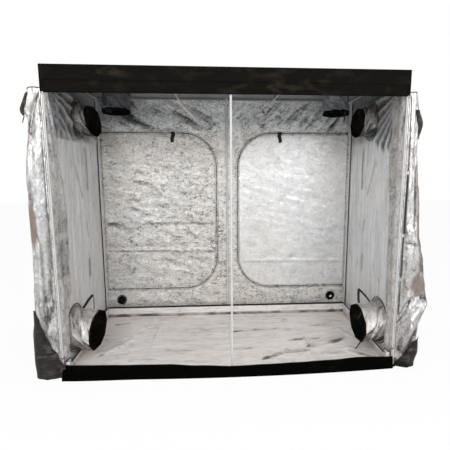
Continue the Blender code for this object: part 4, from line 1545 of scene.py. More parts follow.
            self.corner_welt(side, finishes)
        self.tuck(low.y, finishes)

    def corner_welt(self, side: Side, finishes: Finishes) -> None:
        """The piped seam in each back corner."""

        def run(share: float) -> Vector:
            """A point of the seam, from foot to top."""
            z = 0.03 + 2.06 * share
            return Vector((side.value * 1.2146, 0.5828 + 0.0012 * waver(side.value * 5.0, 2.0, z * 3), z))

        seam(f"corner_welt_{side.word}", 80, run, 0.0036, finishes.webbing)

    def tuck(self, inner_y: float, finishes: Finishes) -> None:
        """A sharp pressed fold that runs down from the top beam towards the zip."""
        start, end = (Vector((x, 0, z)) for x, z in self.tuck_line)

        def ridge(u: float, v: float) -> Vector:
            """A point of the fold: wide above and thin below."""
            middle = start.lerp(end, v)
            wide = 0.024 * (1 - smooth_step(v, 0.25, 0.75)) + 0.008
            across = (end - start).normalized().cross(Y)
            stand = 0.0030 + 0.008 * (1 - abs(2 * u - 1)) * min(1.0, 6 * v, 8 * (1 - v))
            return middle + across * wide * (u - 0.5) + Y * (inner_y - stand)

        bm = facing(skin(6, 70, ridge), -Y)
        # The fold is given the brighter tray film: a painted highlight along it.
        plain("back_wall_tuck", bm, finishes.tray, "silver_lining", 0.0010, angle=70)


@dataclass
class RoofAndFloor:
    """The roof cloth with its two duct holes, and the floor cloth."""

    step: float = 0.022
    fade: float = 0.08

    def build(self, finishes: Finishes) -> None:
        """Makes both cloths."""
        low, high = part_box("roof_panel")
        middle = (low.z + high.z) / 2
        grid = rectangle((low.x, low.y), (high.x, high.y), X, Y, Z * middle, self.step)
        places = [Vector((side.value * ROOF_PORT.across, ROOF_PORT.up, middle)) for side in Side]
        pegs = [peg(ROOF_PORT.radius, place, Z) for place in places]
        mesh = solved(to_mesh(facing(grid, Z), "roof"), pegs, "DIFFERENCE")

        def sag(place: Vector) -> float:
            """How far the roof hangs down between its beams."""
            mask = edge_mask(place.x, place.y, (low.x, low.y), (high.x, high.y), self.fade)
            for side in Side:
                reach = math.hypot(place.x - side.value * ROOF_PORT.across, place.y - ROOF_PORT.up)
                mask *= smooth_step(reach - ROOF_PORT.radius, 0.004, 0.06)
                mask *= smooth_step(abs(place.x - side.value * 0.45), 0.012, 0.06)
            wide = waver(place.x * 2.4, place.y * 2.8, 1.0)
            return mask * (0.004 * wide + 0.003 * crush(place.x * 7, place.y * 9, 3.0))

        pressed(mesh, -Z, sag)
        linings = [finishes.canvas, finishes.roof]
        roof = piece("roof_cloth", mesh, linings, "silver_lining", replaces=["roof_panel"])
        thicken(roof, WALL_CLOTH)
        for side in Side:

            def edge(share: float, out: int = side.value) -> Vector:
                """A point of the seam between the roof and a side wall, which sags in its middle."""
                y = 0.575 * (2 * share - 1)
                dip = 0.010 * math.sin(math.pi * share) + 0.002 * waver(y * 4, out, 2.0)
                return Vector((out * 1.2125, y, 2.1195 - dip))

            seam(f"roof_seam_{side.word}", 60, edge, 0.0055, finishes.webbing)
        low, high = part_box("floor_panel")
        grid = rectangle((low.x, low.y), (high.x, high.y), X, Y, Z * (high.z / 2), 0.04)
        mesh = to_mesh(facing(grid, -Z), "floor_cloth")
        pressed(mesh, Z, lambda p: 0.0002 * (1 + noise.noise(p * 6)))
        floor = piece("floor_cloth", mesh, [finishes.canvas], "black_canvas", replaces=["floor_panel"])
        thicken(floor, WALL_CLOTH - 0.0003, lined=False)


@dataclass
class Header:
    """The black band over the opening, its storm flap and their stitching."""

    flap_top: float = 2.037
    flap_bottom: float = 1.958
    flap_ease: float = 0.02
    face: float = -0.61
    foot: float = 1.965

    def build(self, finishes: Finishes) -> None:
        """Makes the band and the flap."""
        low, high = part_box("front_header")

        def band(u: float, v: float) -> Vector:
            """A point of the band, which bows a little between its ends."""
            x = low.x + u * (high.x - low.x)
            z = self.foot + v * (high.z + 0.004 - self.foot)
            ripple = 0.0022 * ridges(x * 5, 1.0, z * 8, 2) + 0.0035 * waver(x * 1.7, 2.0, z * 3)
            mask = smooth_step(u, 0, 0.02) * smooth_step(1 - u, 0, 0.02)
            mask *= smooth_step(v, 0, 0.2) * smooth_step(1 - v, 0, 0.15)
            return Vector((x, self.face + 0.0008 - ripple * mask, z))

        mesh = to_mesh(facing(skin(190, 16, band), -Y), "band")
        linings = [finishes.canvas, finishes.side]
        cloth = piece("front_header_band", mesh, linings, "black_canvas", replaces=["front_header"])
        thicken(cloth, WALL_CLOTH)
        left, right = low.x + self.flap_ease, high.x - self.flap_ease

        def flap(u: float, v: float) -> Vector:
            """A point of the flap: sewn along its top, and slack along its hem."""
            x = left + u * (right - left)
            slack = 1 - v
            dip = 0.004 * waver(x * 1.3, 6.0, 0)
            z = self.flap_bottom + v * (self.flap_top - self.flap_bottom) - slack * dip
            puff = 0.0035 + 0.006 * math.sin(math.pi * v) * (0.6 + 0.4 * waver(x * 2.1, 5.0, 0))
            ripple = 0.003 * slack * ridges(x * 6, 8.0, z * 4, 2)
            return Vector((x, self.face - puff - ripple, z))

        bm = facing(skin(200, 12, flap), -Y)
        cover = plain("storm_flap", bm, finishes.canvas, "black_canvas", WALL_CLOTH)
        for name, up in (("storm_flap_top_welt", 0.985), ("storm_flap_hem_welt", 0.06)):
            points = [flap(i / 160, up) - Y * 0.0014 for i in range(161)]
            tube(name, points, 0.0016, finishes.canvas)


@dataclass
class Sill:
    """The black band along the foot of the opening, slumped forward in its middle."""

    heights: tuple = (0.096, 0.089, 0.083, 0.079, 0.062, 0.049, 0.055, 0.062, 0.072, 0.088, 0.084)
    lean: float = 0.006
    end_foot: float = 0.028
    left_foot: float = 0.052
    middle_foot: float = 0.078
    depth: float = 1.22
    cut_height: float = 0.135

    def build(self, finishes: Finishes) -> None:
        """Makes the band and its rolled top edge."""
        low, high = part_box("front_sill")
        half = high.x
        front = -self.depth / 2

        def band(u: float, v: float) -> Vector:
            """A point of the band, from its return on the ground to its top edge."""
            x = half * (2 * u - 1)
            bow = 1 - (x / half) ** 2
            top = along_shares(self.heights, u)
            foot = front - self.end_foot - (self.middle_foot - self.end_foot) * bow
            foot -= (self.left_foot - self.end_foot) * (1 - smooth_step(u, 0.0, 0.25))
            ripple = 0.5 * waver(x * 3.0, 1.0, v) + 0.5 * ridges(x * 6, 3.0, v * 0.8, 2)
            if v < 0.25:
                back = front - 0.0004
                return Vector((x, back + (foot - back) * v / 0.25, 0.0008))
            climb = (v - 0.25) / 0.75
            puff = math.sin(math.pi * climb)
            y = foot + (front - self.lean - foot) * climb - 0.004 * ripple * puff
            return Vector((x, y, 0.0008 + top * climb + 0.006 * puff * (1 + 0.5 * ripple)))

        bm, finish = facing(skin(170, 20, band), -Y), finishes.sill_canvas
        cloth = plain("front_sill_band", bm, finish, "black_canvas", WALL_CLOTH, ["front_sill"])
        seam("front_sill_welt", 140, lambda share: band(share, 0.985) + Z * 0.0010, 0.0024, finishes.webbing)


@dataclass
class Tray:
    """The loose silver tray on the floor: a wrinkled sheet whose edges stand up."""

    wall: float = 0.10
    lip: float = 0.025
    dip_height: float = 0.05
    dip_half: float = 0.195
    dip_slope: float = 0.03
    back_lean: float = 0.014
    side_lean: float = 0.004
    wander: float = 0.0022
    seam_x: float = -0.002
    step_x: float = 0.013
    step_y: float = 0.0072
    wall_rows: int = 8
    folds: tuple = (
        ((-1.07, 0.375), (-0.955, 0.367), 0.010, 0.018),
        ((-0.862, 0.207), (-0.652, 0.346), 0.007, 0.012),
        ((-0.547, 0.12), (-0.492, 0.198), 0.005, 0.011),
        ((-0.259, 0.181), (-0.041, 0.133), 0.005, 0.011),
        ((-0.67, -0.459), (-0.66, 0.26), 0.0045, 0.010),
        ((-1.013, -0.269), (-0.853, -0.025), 0.014, 0.035),
        ((-0.53, -0.226), (-0.30, -0.255), 0.006, 0.012),
        ((-0.788, -0.393), (-0.595, -0.395), 0.007, 0.012),
        ((-0.353, -0.458), (-0.074, -0.466), 0.006, 0.012),
        ((0.029, 0.112), (0.237, 0.147), 0.008, 0.012),
        ((0.237, 0.147), (0.438, 0.183), 0.007, 0.012),
        ((0.142, 0.496), (0.55, 0.468), 0.004, 0.011),
        ((0.039, -0.239), (0.18, -0.222), 0.008, 0.012),
        ((0.506, -0.105), (0.646, -0.085), 0.012, 0.015),
        ((0.646, -0.085), (0.771, -0.079), 0.010, 0.014),
        ((0.273, -0.42), (0.457, -0.321), 0.018, 0.020),
        ((0.457, -0.321), (0.608, -0.318), 0.016, 0.019),
        ((0.646, -0.085), (0.655, -0.458), 0.008, 0.013),
        ((0.671, -0.243), (0.951, -0.107), 0.024, 0.030),
        ((0.724, -0.365), (0.904, -0.377), 0.010, 0.015),
        ((1.016, 0.109), (1.095, -0.087), 0.009, 0.015),
        ((0.981, -0.318), (1.107, -0.454), 0.024, 0.030),
        ((0.759, 0.195), (0.999, 0.285), 0.009, 0.016),
        ((-0.084, 0.324), (0.037, 0.316), 0.005, 0.011),
    )

    def top(self, x: float, y: float, half_x: float, half_y: float) -> float:
        """The height of the tray's edge at a place round it."""
        if y < -half_y + 0.001 and abs(x) < half_x - self.dip_slope:
            return self.lip
        if abs(x) > half_x - 0.001:
            off = abs(y - LOWER_PORT.across) - self.dip_half
            return self.dip_height + (self.wall - self.dip_height) * smooth_step(off, 0, self.dip_slope)
        return self.wall

    def ripple(self, x: float, y: float, half_x: float, half_y: float) -> float:
        """The height of the tray's floor over the ground cloth."""
        mask = edge_mask(x, y, (-half_x, -half_y), (half_x, half_y), 0.05)
        wide = 0.5 + 0.5 * waver(x * 1.8, y * 3.2, 4.0)
        long = max(0.0, ridges(x * 1.6, y * 7.0, 9.0, 3))
        rise = 0.004 * wide + 0.0042 * long + 0.0012 * crush(x * 11, y * 14, 2.0)
        place = (x + 0.02 * waver(x * 7, y * 7, 5.0), y + 0.02 * waver(x * 7, y * 7, 8.0))
        for start, end, height, width in self.folds:
            run_x, run_y = end[0] - start[0], end[1] - start[1]
            across = run_x * (place[1] - start[1]) - run_y * (place[0] - start[0])
            in_front = across * math.copysign(1, run_x) < 0
            off = line_distance(place, start, end)
            if off < 4 * width:
                rise += height * bell(off, width * (0.62 if in_front else 1.5))
        rise += 0.0022 * bell(x - self.seam_x, 0.006)
        return max(0.0, rise) * mask

    def build(self, finishes: Finishes) -> None:
        """Makes the tray from one flat sheet with its edges turned up."""
        low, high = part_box("floor_tray")
        half_x, half_y, base = high.x - WALL_CLOTH / 2, high.y - WALL_CLOTH / 2, low.z + WALL_CLOTH / 2

        def steps(half: float, step: float) -> list[float]:
            """Places along the unfolded sheet: its edge strips, then the floor."""
            count = round(2 * half / step)
            edge = [self.wall * (1 - i / self.wall_rows) for i in range(self.wall_rows)]
            flat = [half * (2 * i / count - 1) for i in range(count + 1)]
            return [-half - e for e in edge] + flat + [half + e for e in reversed(edge)]

        across, along = steps(half_x, self.step_x), steps(half_y, self.step_y)
        columns, rows = len(across) - 1, len(along) - 1

        def unfolded(u: float, v: float) -> Vector:
            """A point of the flat sheet."""
            return Vector((across[round(u * columns)], along[round(v * rows)], 0))

        bm = skin(columns, rows, unfolded)
        middles = [(face, face.calc_center_median()) for face in bm.faces]
        corners = [face for face, middle in middles if abs(middle.x) > half_x and abs(middle.y) > half_y]
        bmesh.ops.delete(bm, geom=corners, context="FACES")
        flat_area = sum(face.calc_area() for face in bm.faces)
        for vert in bm.verts:
            over_x, over_y = abs(vert.co.x) - half_x, abs(vert.co.y) - half_y
            x = max(-half_x, min(half_x, vert.co.x))
            y = max(-half_y, min(half_y, vert.co.y))
            rise = max(over_x, over_y, 0)
            height = min(rise, self.top(x, y, half_x, half_y))
            share = height / self.wall
            ripple = waver(x * 5, y * 5, 3.0) * self.wander * share
            if over_x > 1e-6:
                x -= math.copysign(self.side_lean * share + ripple + 0.0006, x)
            elif over_y > 1e-6:
                lean = self.back_lean if y > 0 else 0.0
                y -= math.copysign(lean * share + ripple + 0.0006, y)
            else:
                height = self.ripple(x, y, half_x, half_y)
            vert.co = Vector((x, y, base + height))
        bmesh.ops.remove_doubles(bm, verts=bm.verts, dist=0.0008)
        bmesh.ops.dissolve_degenerate(bm, edges=bm.edges, dist=1e-5)
        bm.normal_update()

        def dark(place: Vector, normal: Vector) -> float:
            """The painted shade: on slopes by the way they face, behind the folds and in the creases along
            them, under the back wall, along the side edges, and on the upright walls.
            """
            shade = smooth_step(normal.y if place.z < 0.03 else 0.0, 0.14, 0.50)
            for start, end, height, width in self.folds:
                behind = Vector((0, 0.5 * width))
                off = line_distance(Vector((place.x, place.y)) - behind, start, end)
                shade += min(0.7, 0.25 + 30 * height) * bell(off, min(0.0060, 0.45 * width))
            shade *= 0.75 + 0.6 * noise.noise(place * 9)
            if place.z < 0.03:
                shade += 0.14 * bell(place.y - half_y, 0.012) + 0.35 * bell(abs(place.x) - half_x, 0.016)
            else:
                shade += 0.16
            return shade

        mesh = marked(to_mesh(facing(bm, -Z), "tray", 50), dark)
        tray = piece("floor_tray_sheet", mesh, [finishes.tray], "silver_lining", replaces=["floor_tray"])
        thicken(tray, WALL_CLOTH, lined=False)
        self.bindings(half_x, half_y, base, finishes)

    def bindings(self, half_x: float, half_y: float, base: float, finishes: Finishes) -> None:
        """Makes the bound edges of the tray's walls, the fold along its back and the seam down its middle.

        Args:
            half_x: Half the width of its floor.
            half_y: Half the depth of its floor.
            base: The height of its floor.
            finishes: The finishes.
        """
        def back_rim(share: float) -> Vector:
            """A point of the back wall's edge."""
            x = half_x * (2 * share - 1) * 0.998
            wander = self.wander * waver(x * 5, half_y * 5, 3.0)
            return Vector((x, half_y - self.back_lean - wander, base + self.wall + 0.0030))

        def side_rim(share: float, out: int) -> Vector:
            """A point of a side wall's edge."""
            y = half_y * (2 * share - 1) * 0.995
            top = self.top(out * half_x, y, half_x, half_y)
            wander = self.wander * waver(out * half_x * 5, y * 5, 3.0)
            x = out * (half_x - self.side_lean * top / self.wall - wander)
            return Vector((x, y, base + top + 0.0012))

        def back_fold(share: float) -> Vector:
            """A point of the fold at the foot of the back wall."""
            x = half_x * (2 * share - 1) * 0.985
            return Vector((x, half_y - 0.008 + 0.002 * waver(x * 3, 0, 5), base + 0.0016))

        def middle_seam(share: float) -> Vector:
            """A point of the seam from front to back."""
            y = -half_y + 0.01 + (2 * half_y - 0.02) * share
            return Vector((self.seam_x, y, base + 0.0006 + self.ripple(self.seam_x, y, half_x, half_y)))

        # The back binding is drawn thick and black: partly the real binding, partly a dark band standing in
        # for the shaded gap behind the tray's back wall.
        seam("floor_tray_back_binding", 120, back_rim, 0.0086, finishes.webbing)
        for side in Side:
            name = f"floor_tray_{side.word}_binding"
            seam(name, 120, lambda share: side_rim(share, side.value), 0.0036, finishes.webbing)
        seam("floor_tray_back_fold", 120, back_fold, 0.0017, finishes.side)
        seam("floor_tray_seam", 90, middle_seam, 0.0016, finishes.side)


@dataclass
class DuctSleeve:
    """A limp sleeve pushed into the tent: silver outside, black inside, with a hem and a bound ring."""

    port: Port
    side: Side
    columns: int = 90
    rows: int = 36
    corners: int = 9
    folds: int = 4
    roof_drop: float = 0.020
    cloth: float = 0.0016
    hem: float = 0.0075
    ring_width: float = 0.0095
    ring_half: float = 0.0011
    ring_steps: int = 72
    piping: float = 0.0038

    def frame_of(self) -> tuple[Vector, Vector, Vector, Vector]:
        """The port's centre on the outer face, and the ways in, across and up."""
        out = self.side.value
        if self.port.level is Level.ROOF:
            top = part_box("roof_panel")[1].z
            return Vector((out * self.port.across, self.port.up, top)), -Z, X, Y
        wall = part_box(f"wall_{self.side.word}")
        face = wall[1].x if out > 0 else wall[0].x
        return Vector((face, self.port.across, self.port.up)), X * -out, Y, Z

    def section(self, share: float, angle: float) -> tuple[float, float, float]:
        """A point of the limp tube.

        Args:
            share: How far along the sleeve, from 0 at the wall to 1 at the mouth.
            angle: The angle round it.

        Returns:
            How far in, across and up it lies from the port's centre.
        """
        port = self.port
        ease = smooth_step(share, 0.0, 0.9)
        wide = port.radius + (port.half_width - port.radius) * ease
        tall = port.radius + (port.half_height - port.radius) * ease
        across = wide * math.cos(angle)
        up = tall * math.sin(angle) - port.shift * ease
        into = port.reach * share
        if port.level is Level.UPPER:
            droop = smooth_step(share, 0.2, 1.0)
            across *= 1 - 0.14 * droop
            into -= (0.014 if self.side is Side.LEFT else 0.006) * droop * math.sin(angle)
            into += (0.026 if self.side is Side.LEFT else 0.012) * droop * math.cos(angle)
        if port.level is Level.ROOF:
            into += 0.009 * ease * math.sin(angle) + self.roof_drop * ease
            across -= (0.012 if self.side is Side.LEFT else -0.016) * ease
        if port.level is Level.LOWER:
            into += 0.012 * ease * math.sin(angle + 0.5)
            into += (0.010 if self.side is Side.LEFT else -0.002) * ease * math.cos(angle)
        return into, across, up

    def corner(self, i: int, j: int) -> Vector:
        """A corner between the flat facets that the limp tube is crumpled into."""
        seed = 7.0 * self.side.value + 31.0 * self.port.reach
        pull = noise.cell_vector(Vector((i % self.corners + 0.5, j + 0.5, seed))) - Vector((0.5, 0.5, 0.5))
        free = 1.0 if 0 < j < self.folds else 0.0
        share = (j + 0.7 * free * pull.x) / self.folds
        angle = 2 * math.pi * (i + 0.5 * j + 0.45 * pull.y) / self.corners
        loose = (0.05 if self.port.level is Level.ROOF else 0.13) * (1 if free else 0.5)
        into, across, up = self.section(share, angle)
        squeeze = 1 - loose * (pull.z + 0.5)
        return Vector((into, across * squeeze, up * squeeze))

    def crumpled(self, share: float, angle: float) -> Vector:
        """A point of the tube, on the flat facet that it lies in.

        Args:
            share: How far along the sleeve.
            angle: The angle round it.

        Returns:
            How far in, across and up it lies.
        """
        b = share * self.folds
        a = angle * self.corners / (2 * math.pi) - 0.5 * b
        i, j = math.floor(a), min(int(b), self.folds - 1)
        near = self.corner(i, j).lerp(self.corner(i + 1, j), a - i)
        far = self.corner(i, j + 1).lerp(self.corner(i + 1, j + 1), a - i)
        round_one = Vector(self.section(share, angle))
        return round_one.lerp(near.lerp(far, b - j), smooth_step(share, 0.0, 0.14))

    def tails(self, at: Callable[..., Vector], finishes: Finishes, name: str) -> None:
        """The ends of the drawstring tape, which hang from the mouth.

        Args:
            at: Gives a point of the sleeve from a share, an angle and a distance out.
            finishes: The finishes.
            name: The sleeve's name.
        """
        tapes = {
            (Level.ROOF, Side.LEFT): ((-1.9, 0.030, 0.055, 0.0),),
            (Level.ROOF, Side.RIGHT): ((-1.2, 0.095, 0.011, 0.012),),
            (Level.LOWER, Side.RIGHT): ((2.25, 0.050, 0.010, 0.035), (-2.0, 0.056, 0.011, 0.050)),
            (Level.UPPER, Side.RIGHT): ((1.9, 0.050, 0.010, 0.020),),
        }
        for number, (angle, length, width, lean) in enumerate(tapes.get((self.port.level, self.side), ())):
            root = at(0.98, angle, 0.004)

            def hang(u: float, v: float) -> Vector:
                """A point of one tape."""
                drop = length * v
                sway = Vector((-self.side.value * lean * v, -0.010 * v, -drop))
                return root + sway + X * (u - 0.5) * width + Y * 0.003 * math.sin(math.pi * 2 * v)

            bm = facing(skin(4, 14, hang), -Y)
            item = plain(f"{name}_drawstring_{number}", bm, finishes.webbing, "black_webbing", 0.0018)

    def build(self, finishes: Finishes) -> None:
        """Makes the sleeve, its rolled hem and the binding round its port."""
        centre, into, side_way, up_way = self.frame_of()
        name = f"duct_sleeve_{self.port.level.value}_{self.side.word}"

        def at(share: float, angle: float, grow: float = 0.0) -> Vector:
            """A point of the sleeve in the tent, pushed out by a distance."""
            depth, across, up = self.crumpled(share, angle)
            way = Vector((across, up)).normalized() * grow
            return centre + into * (depth + 0.003) + side_way * (across + way.x) + up_way * (up + way.y)

        shear = math.pi * self.folds / self.corners
        bm = outward(skin(self.columns, self.rows, lambda u, v: at(v, 2 * math.pi * u + shear * v)))
        middle = centre + into * (self.port.reach / 2)
        if sum((f.calc_center_median() - middle).dot(f.normal) for f in bm.faces) < 0:
            bmesh.ops.reverse_faces(bm, faces=bm.faces)
        left_roof = self.port.level is Level.ROOF and self.side is Side.LEFT

        def dark(place: Vector, normal: Vector) -> float:
            """The painted shade of a facet: where it looks along the sleeve, down or straight up, and more
            over the whole left roof sleeve.
            """
            shade = 0.7 * smooth_step(abs(normal.dot(into)), 0.20, 0.65)
            shade += 0.7 * smooth_step(-normal.z, 0.05, 0.6) + 0.35 * smooth_step(normal.z, 0.70, 0.95)
            return shade + (0.45 if left_roof else 0.0)

        mesh = marked(to_mesh(bm, name, 14), dark)
        # The upper and roof sleeves take the darker copies of the film: painted shade.
        films = {
            Level.LOWER: finishes.sleeve,
            Level.UPPER: finishes.high_sleeve,
            Level.ROOF: finishes.roof_sleeve,
        }
        linings = [films[self.port.level], finishes.canvas]
        sleeve = piece(f"{name}_cloth", mesh, linings, "silver_lining", replaces=[name])
        thicken(sleeve, self.cloth, offset=-1.0)

        def hem(u: float, v: float) -> Vector:
            """A point of the rolled hem at the mouth."""
            angle, turn = 2 * math.pi * u, 2 * math.pi * v
            base = at(0.985, angle, 0.0030 * math.cos(turn) - 0.001)
            deep = self.hem * (1.7 if self.port.level is Level.ROOF else 1.0)
            return base + into * (deep * math.sin(turn))

        plain(f"{name}_hem", outward(skin(self.columns, 10, hem)), finishes.canvas, "black_canvas", angle=75)
        inner, outer, half = self.port.radius - 0.001, self.port.radius + self.ring_width, self.ring_half
        profile = [(inner, -half), (outer, -half), (outer + 0.001, 0), (outer, half), (inner, half)]
        rings = (
            ("inner", WALL_CLOTH + 0.0012, finishes.sleeve, "silver_lining"),
            ("outer", -0.0012, finishes.canvas, "black_canvas"),
        )
        for place, lift, finish, slot in rings:
            ring = turned(profile, centre + into * lift, into, self.ring_steps)
            plain(f"{name}_ring_{place}", ring, finish, slot)
        self.tails(at, finishes, name)
        section, lift = round_profile(outer + 0.0010, self.piping), WALL_CLOTH + 0.0034
        ring = turned(section, centre + into * lift, into, self.ring_steps)
        plain(f"{name}_piping", ring, finishes.webbing, "black_webbing")


@dataclass
class WebbingLoop:
    """A black strap that stands in a peak on each low sleeve."""

    side: Side
    width: float = 0.02
    thickness: float = 0.0018

    def build(self, finishes: Finishes) -> None:
        """Makes the strap along its route, up over its peak and down again."""
        name = f"webbing_loop_{self.side.word}"
        low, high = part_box(name)
        out = self.side.value
        y = (low.y + high.y) / 2
        left = self.side is Side.LEFT
        apex_x, mid_x, back_x = (1.067, 1.066, 1.148) if left else (1.042, 1.048, 1.140)
        apex = Vector((out * apex_x, y, high.z - 0.004))
        front = Vector((out * mid_x, y, low.z + 0.002))
        knee = Vector((out * (apex_x + 0.012), y, apex.z - 0.004))
        back = Vector((out * back_x, y, low.z + 0.012))
        rise, fall = front.lerp(apex, 0.5) - X * out * 0.003, knee.lerp(back, 0.5) + Z * 0.004
        points = smooth_route([front, rise, apex, knee, fall, back], 8)

        def strap(u: float, v: float) -> Vector:
            """A point of the strap along its route, turned edge on where its upright leg is thin."""
            place = v * (len(points) - 1)
            i = min(int(place), len(points) - 2)
            point = points[i].lerp(points[i + 1], place - i)
            run = (points[i + 1] - points[i]).normalized()
            across = run.cross(Y).normalized()
            twist = 0.10 + 1.1 * smooth_step(v, 0.25, 0.6) if left else 0.65 + 0.35 * math.sin(math.pi * v)
            way = Y * math.cos(twist) + across * math.sin(twist)
            return point + way * (u - 0.5) * self.width

        bm, finish = skin(4, 60, strap), finishes.webbing
        item = plain(f"{name}_strap", bm, finish, "black_webbing", self.thickness, [name], angle=75)
        line_length(points)


@dataclass(frozen=True)
class Turn:
    """A part of a door's edge that is turned over, with its black outer side to the front.

    Attributes:
        low: Its lowest level.
        high: Its highest level.
        inner: How far out its inner edge is, from the lowest level to the highest.
        outer: The same for its outer edge, as a share of the door's reach there.
    """

    low: float
    high: float
    inner: tuple
    outer: tuple


@dataclass(frozen=True)
class Fold:
    """A fold of a gathered door.

    Attributes:
        line: The places along it, as the distance out from the hinge and the height.
        rise: How far it stands forward, or lies back where it is negative.
        width: How wide it is.
        shade: How much painted shade lies along it.
    """

    line: tuple
    rise: float
    width: float
    shade: float


@dataclass(frozen=True)
class Gather:
    """How one front door is gathered.

    Attributes:
        reach: How far it reaches out, from its foot to its top, as shares of the door's reach.
        turns: Its parts that are turned over.
        folds: Its placed folds.
        stains: Where it mirrors the room: out from the hinge, height, half sizes and strength.
    """

    reach: tuple
    turns: tuple
    folds: tuple
    # The last field holds painted reflections of the room in the foil.
    stains: tuple


GATHERS = {
    Side.LEFT: Gather(
        reach=(
            0.952, 0.989, 0.981, 0.971, 0.90, 0.886, 0.878, 0.833, 0.825, 0.801, 0.808, 0.807, 0.81,
            0.786, 0.805, 0.761, 0.677, 0.593, 0.545, 0.732, 0.493,
        ),
        turns=(
            Turn(-0.012, 0.245, (-0.022, -0.040, 0.006, 0.044, 0.082, 0.112, 0.138), (1.0, 1.0)),
            Turn(0.90, 0.985, (0.118, 0.100, 0.080, 0.066), (1.0, 1.04, 1.04, 1.0)),
        ),
        folds=(
            Fold(((0.006, 1.957), (0.050, 1.845), (0.073, 1.755), (0.075, 1.700)), -0.010, 0.008, 1.1),
            Fold(((0.004, 1.96), (0.006, 1.585), (0.006, 1.243)), 0.0, 0.006, 1.2),
            Fold(((0.006, 1.25), (0.006, 0.80)), 0.0, 0.005, 0.8),
            Fold(((0.017, 1.93), (0.045, 1.84), (0.074, 1.72)), -0.008, 0.014, 0.35),
            Fold(((-0.004, 1.95), (-0.006, 1.53), (-0.006, 1.24), (-0.004, 0.70)), 0.0, 0.004, 0.8),
            Fold(((0.008, 1.585), (0.010, 1.243), (0.018, 0.90), (0.020, 0.50)), -0.006, 0.013, 0.50),
            Fold(((0.050, 1.60), (0.056, 1.20), (0.075, 0.80), (0.090, 0.52)), 0.012, 0.016, 0.0),
            Fold(((0.105, 1.62), (0.060, 1.70), (0.040, 1.72)), -0.006, 0.012, 0.40),
            Fold(((0.100, 1.39), (0.100, 1.24)), -0.004, 0.022, 0.42),
            Fold(((0.039, 0.717), (-0.010, 0.714)), 0.006, 0.006, 0.3),
            Fold(((0.085, 1.05), (0.060, 0.95), (0.058, 0.60), (0.045, 0.42)), -0.006, 0.009, 0.4),
            Fold(((0.030, 0.70), (0.045, 0.50), (0.085, 0.30)), -0.008, 0.022, 0.50),
            Fold(((0.100, 0.55), (0.060, 0.36), (0.010, 0.22)), 0.012, 0.014, 0.0),
            Fold(((0.135, 0.86), (0.142, 0.55)), -0.004, 0.008, 0.35),
        ),
        stains=(
            (0.108, 1.10, 0.042, 0.19, 1.0), (0.104, 1.87, 0.020, 0.06, 0.7),
            (0.075, 1.66, 0.035, 0.07, 0.30), (0.100, 1.32, 0.035, 0.09, 0.35),
            (0.020, 0.90, 0.022, 0.30, 0.30),
        ),
    ),
    Side.RIGHT: Gather(
        reach=(
            0.86, 1.001, 0.978, 1.023, 1.158, 1.291, 1.209, 1.111, 1.043, 0.913, 0.789, 0.75, 0.711,
            0.657, 0.558, 0.51, 0.44, 0.44, 0.501, 0.40, 0.30,
        ),
        turns=(
            Turn(-0.012, 0.105, (-0.030, 0.020, 0.070, 0.115, 0.170), (1.0, 1.0)),
            Turn(0.84, 0.94, (0.070, 0.062, 0.050, 0.036), (1.0, 1.12, 1.15, 1.0)),
        ),
        folds=(
            Fold(((0.006, 1.96), (0.014, 1.75), (0.016, 1.44)), -0.006, 0.006, 1.3),
            Fold(((0.016, 1.46), (0.014, 1.25), (0.013, 1.02)), -0.010, 0.009, 2.0),
            Fold(((0.010, 0.99), (0.010, 0.70)), -0.008, 0.007, 1.6),
            Fold(((0.009, 0.66), (0.006, 0.36)), -0.006, 0.006, 1.2),
            Fold(((0.060, 1.46), (0.075, 1.20), (0.080, 1.05)), -0.008, 0.007, 0.9),
            Fold(((0.045, 1.90), (0.048, 1.60), (0.045, 1.30)), -0.008, 0.006, 0.30),
            Fold(((0.226, 0.520), (0.140, 0.425), (0.058, 0.240), (0.020, 0.160)), 0.040, 0.034, 0.0),
            Fold(((0.142, 0.495), (0.075, 0.425), (0.008, 0.330)), 0.016, 0.014, 0.0),
            Fold(
                ((0.245, 0.535), (0.173, 0.552), (0.095, 0.530), (0.050, 0.455), (0.004, 0.372)),
                -0.020, 0.013, 1.5,
            ),
            Fold(((0.205, 0.36), (0.120, 0.235), (0.080, 0.12)), -0.014, 0.024, 0.75),
            Fold(((0.026, 0.952), (0.100, 0.935)), -0.010, 0.014, 0.80),
            Fold(((0.085, 0.757), (0.107, 0.745)), -0.006, 0.007, 0.7),
            Fold(((0.045, 0.625), (0.066, 0.605)), -0.006, 0.009, 0.6),
            Fold(((0.03, 0.92), (0.035, 0.70), (0.03, 0.52)), -0.006, 0.014, 0.35),
            Fold(((0.10, 1.14), (0.13, 0.92), (0.165, 0.72)), -0.008, 0.014, 0.40),
            Fold(((0.02, 0.14), (0.07, 0.10)), -0.008, 0.010, 0.6),
        ),
        stains=(
            (0.088, 1.40, 0.022, 0.12, 0.9), (0.140, 0.64, 0.075, 0.10, 0.95),
            (0.068, 1.82, 0.022, 0.09, 0.8), (0.190, 0.36, 0.035, 0.14, 0.9),
            (0.116, 1.16, 0.018, 0.16, 0.8), (0.150, 0.86, 0.018, 0.16, 0.8),
        ),
    ),
}


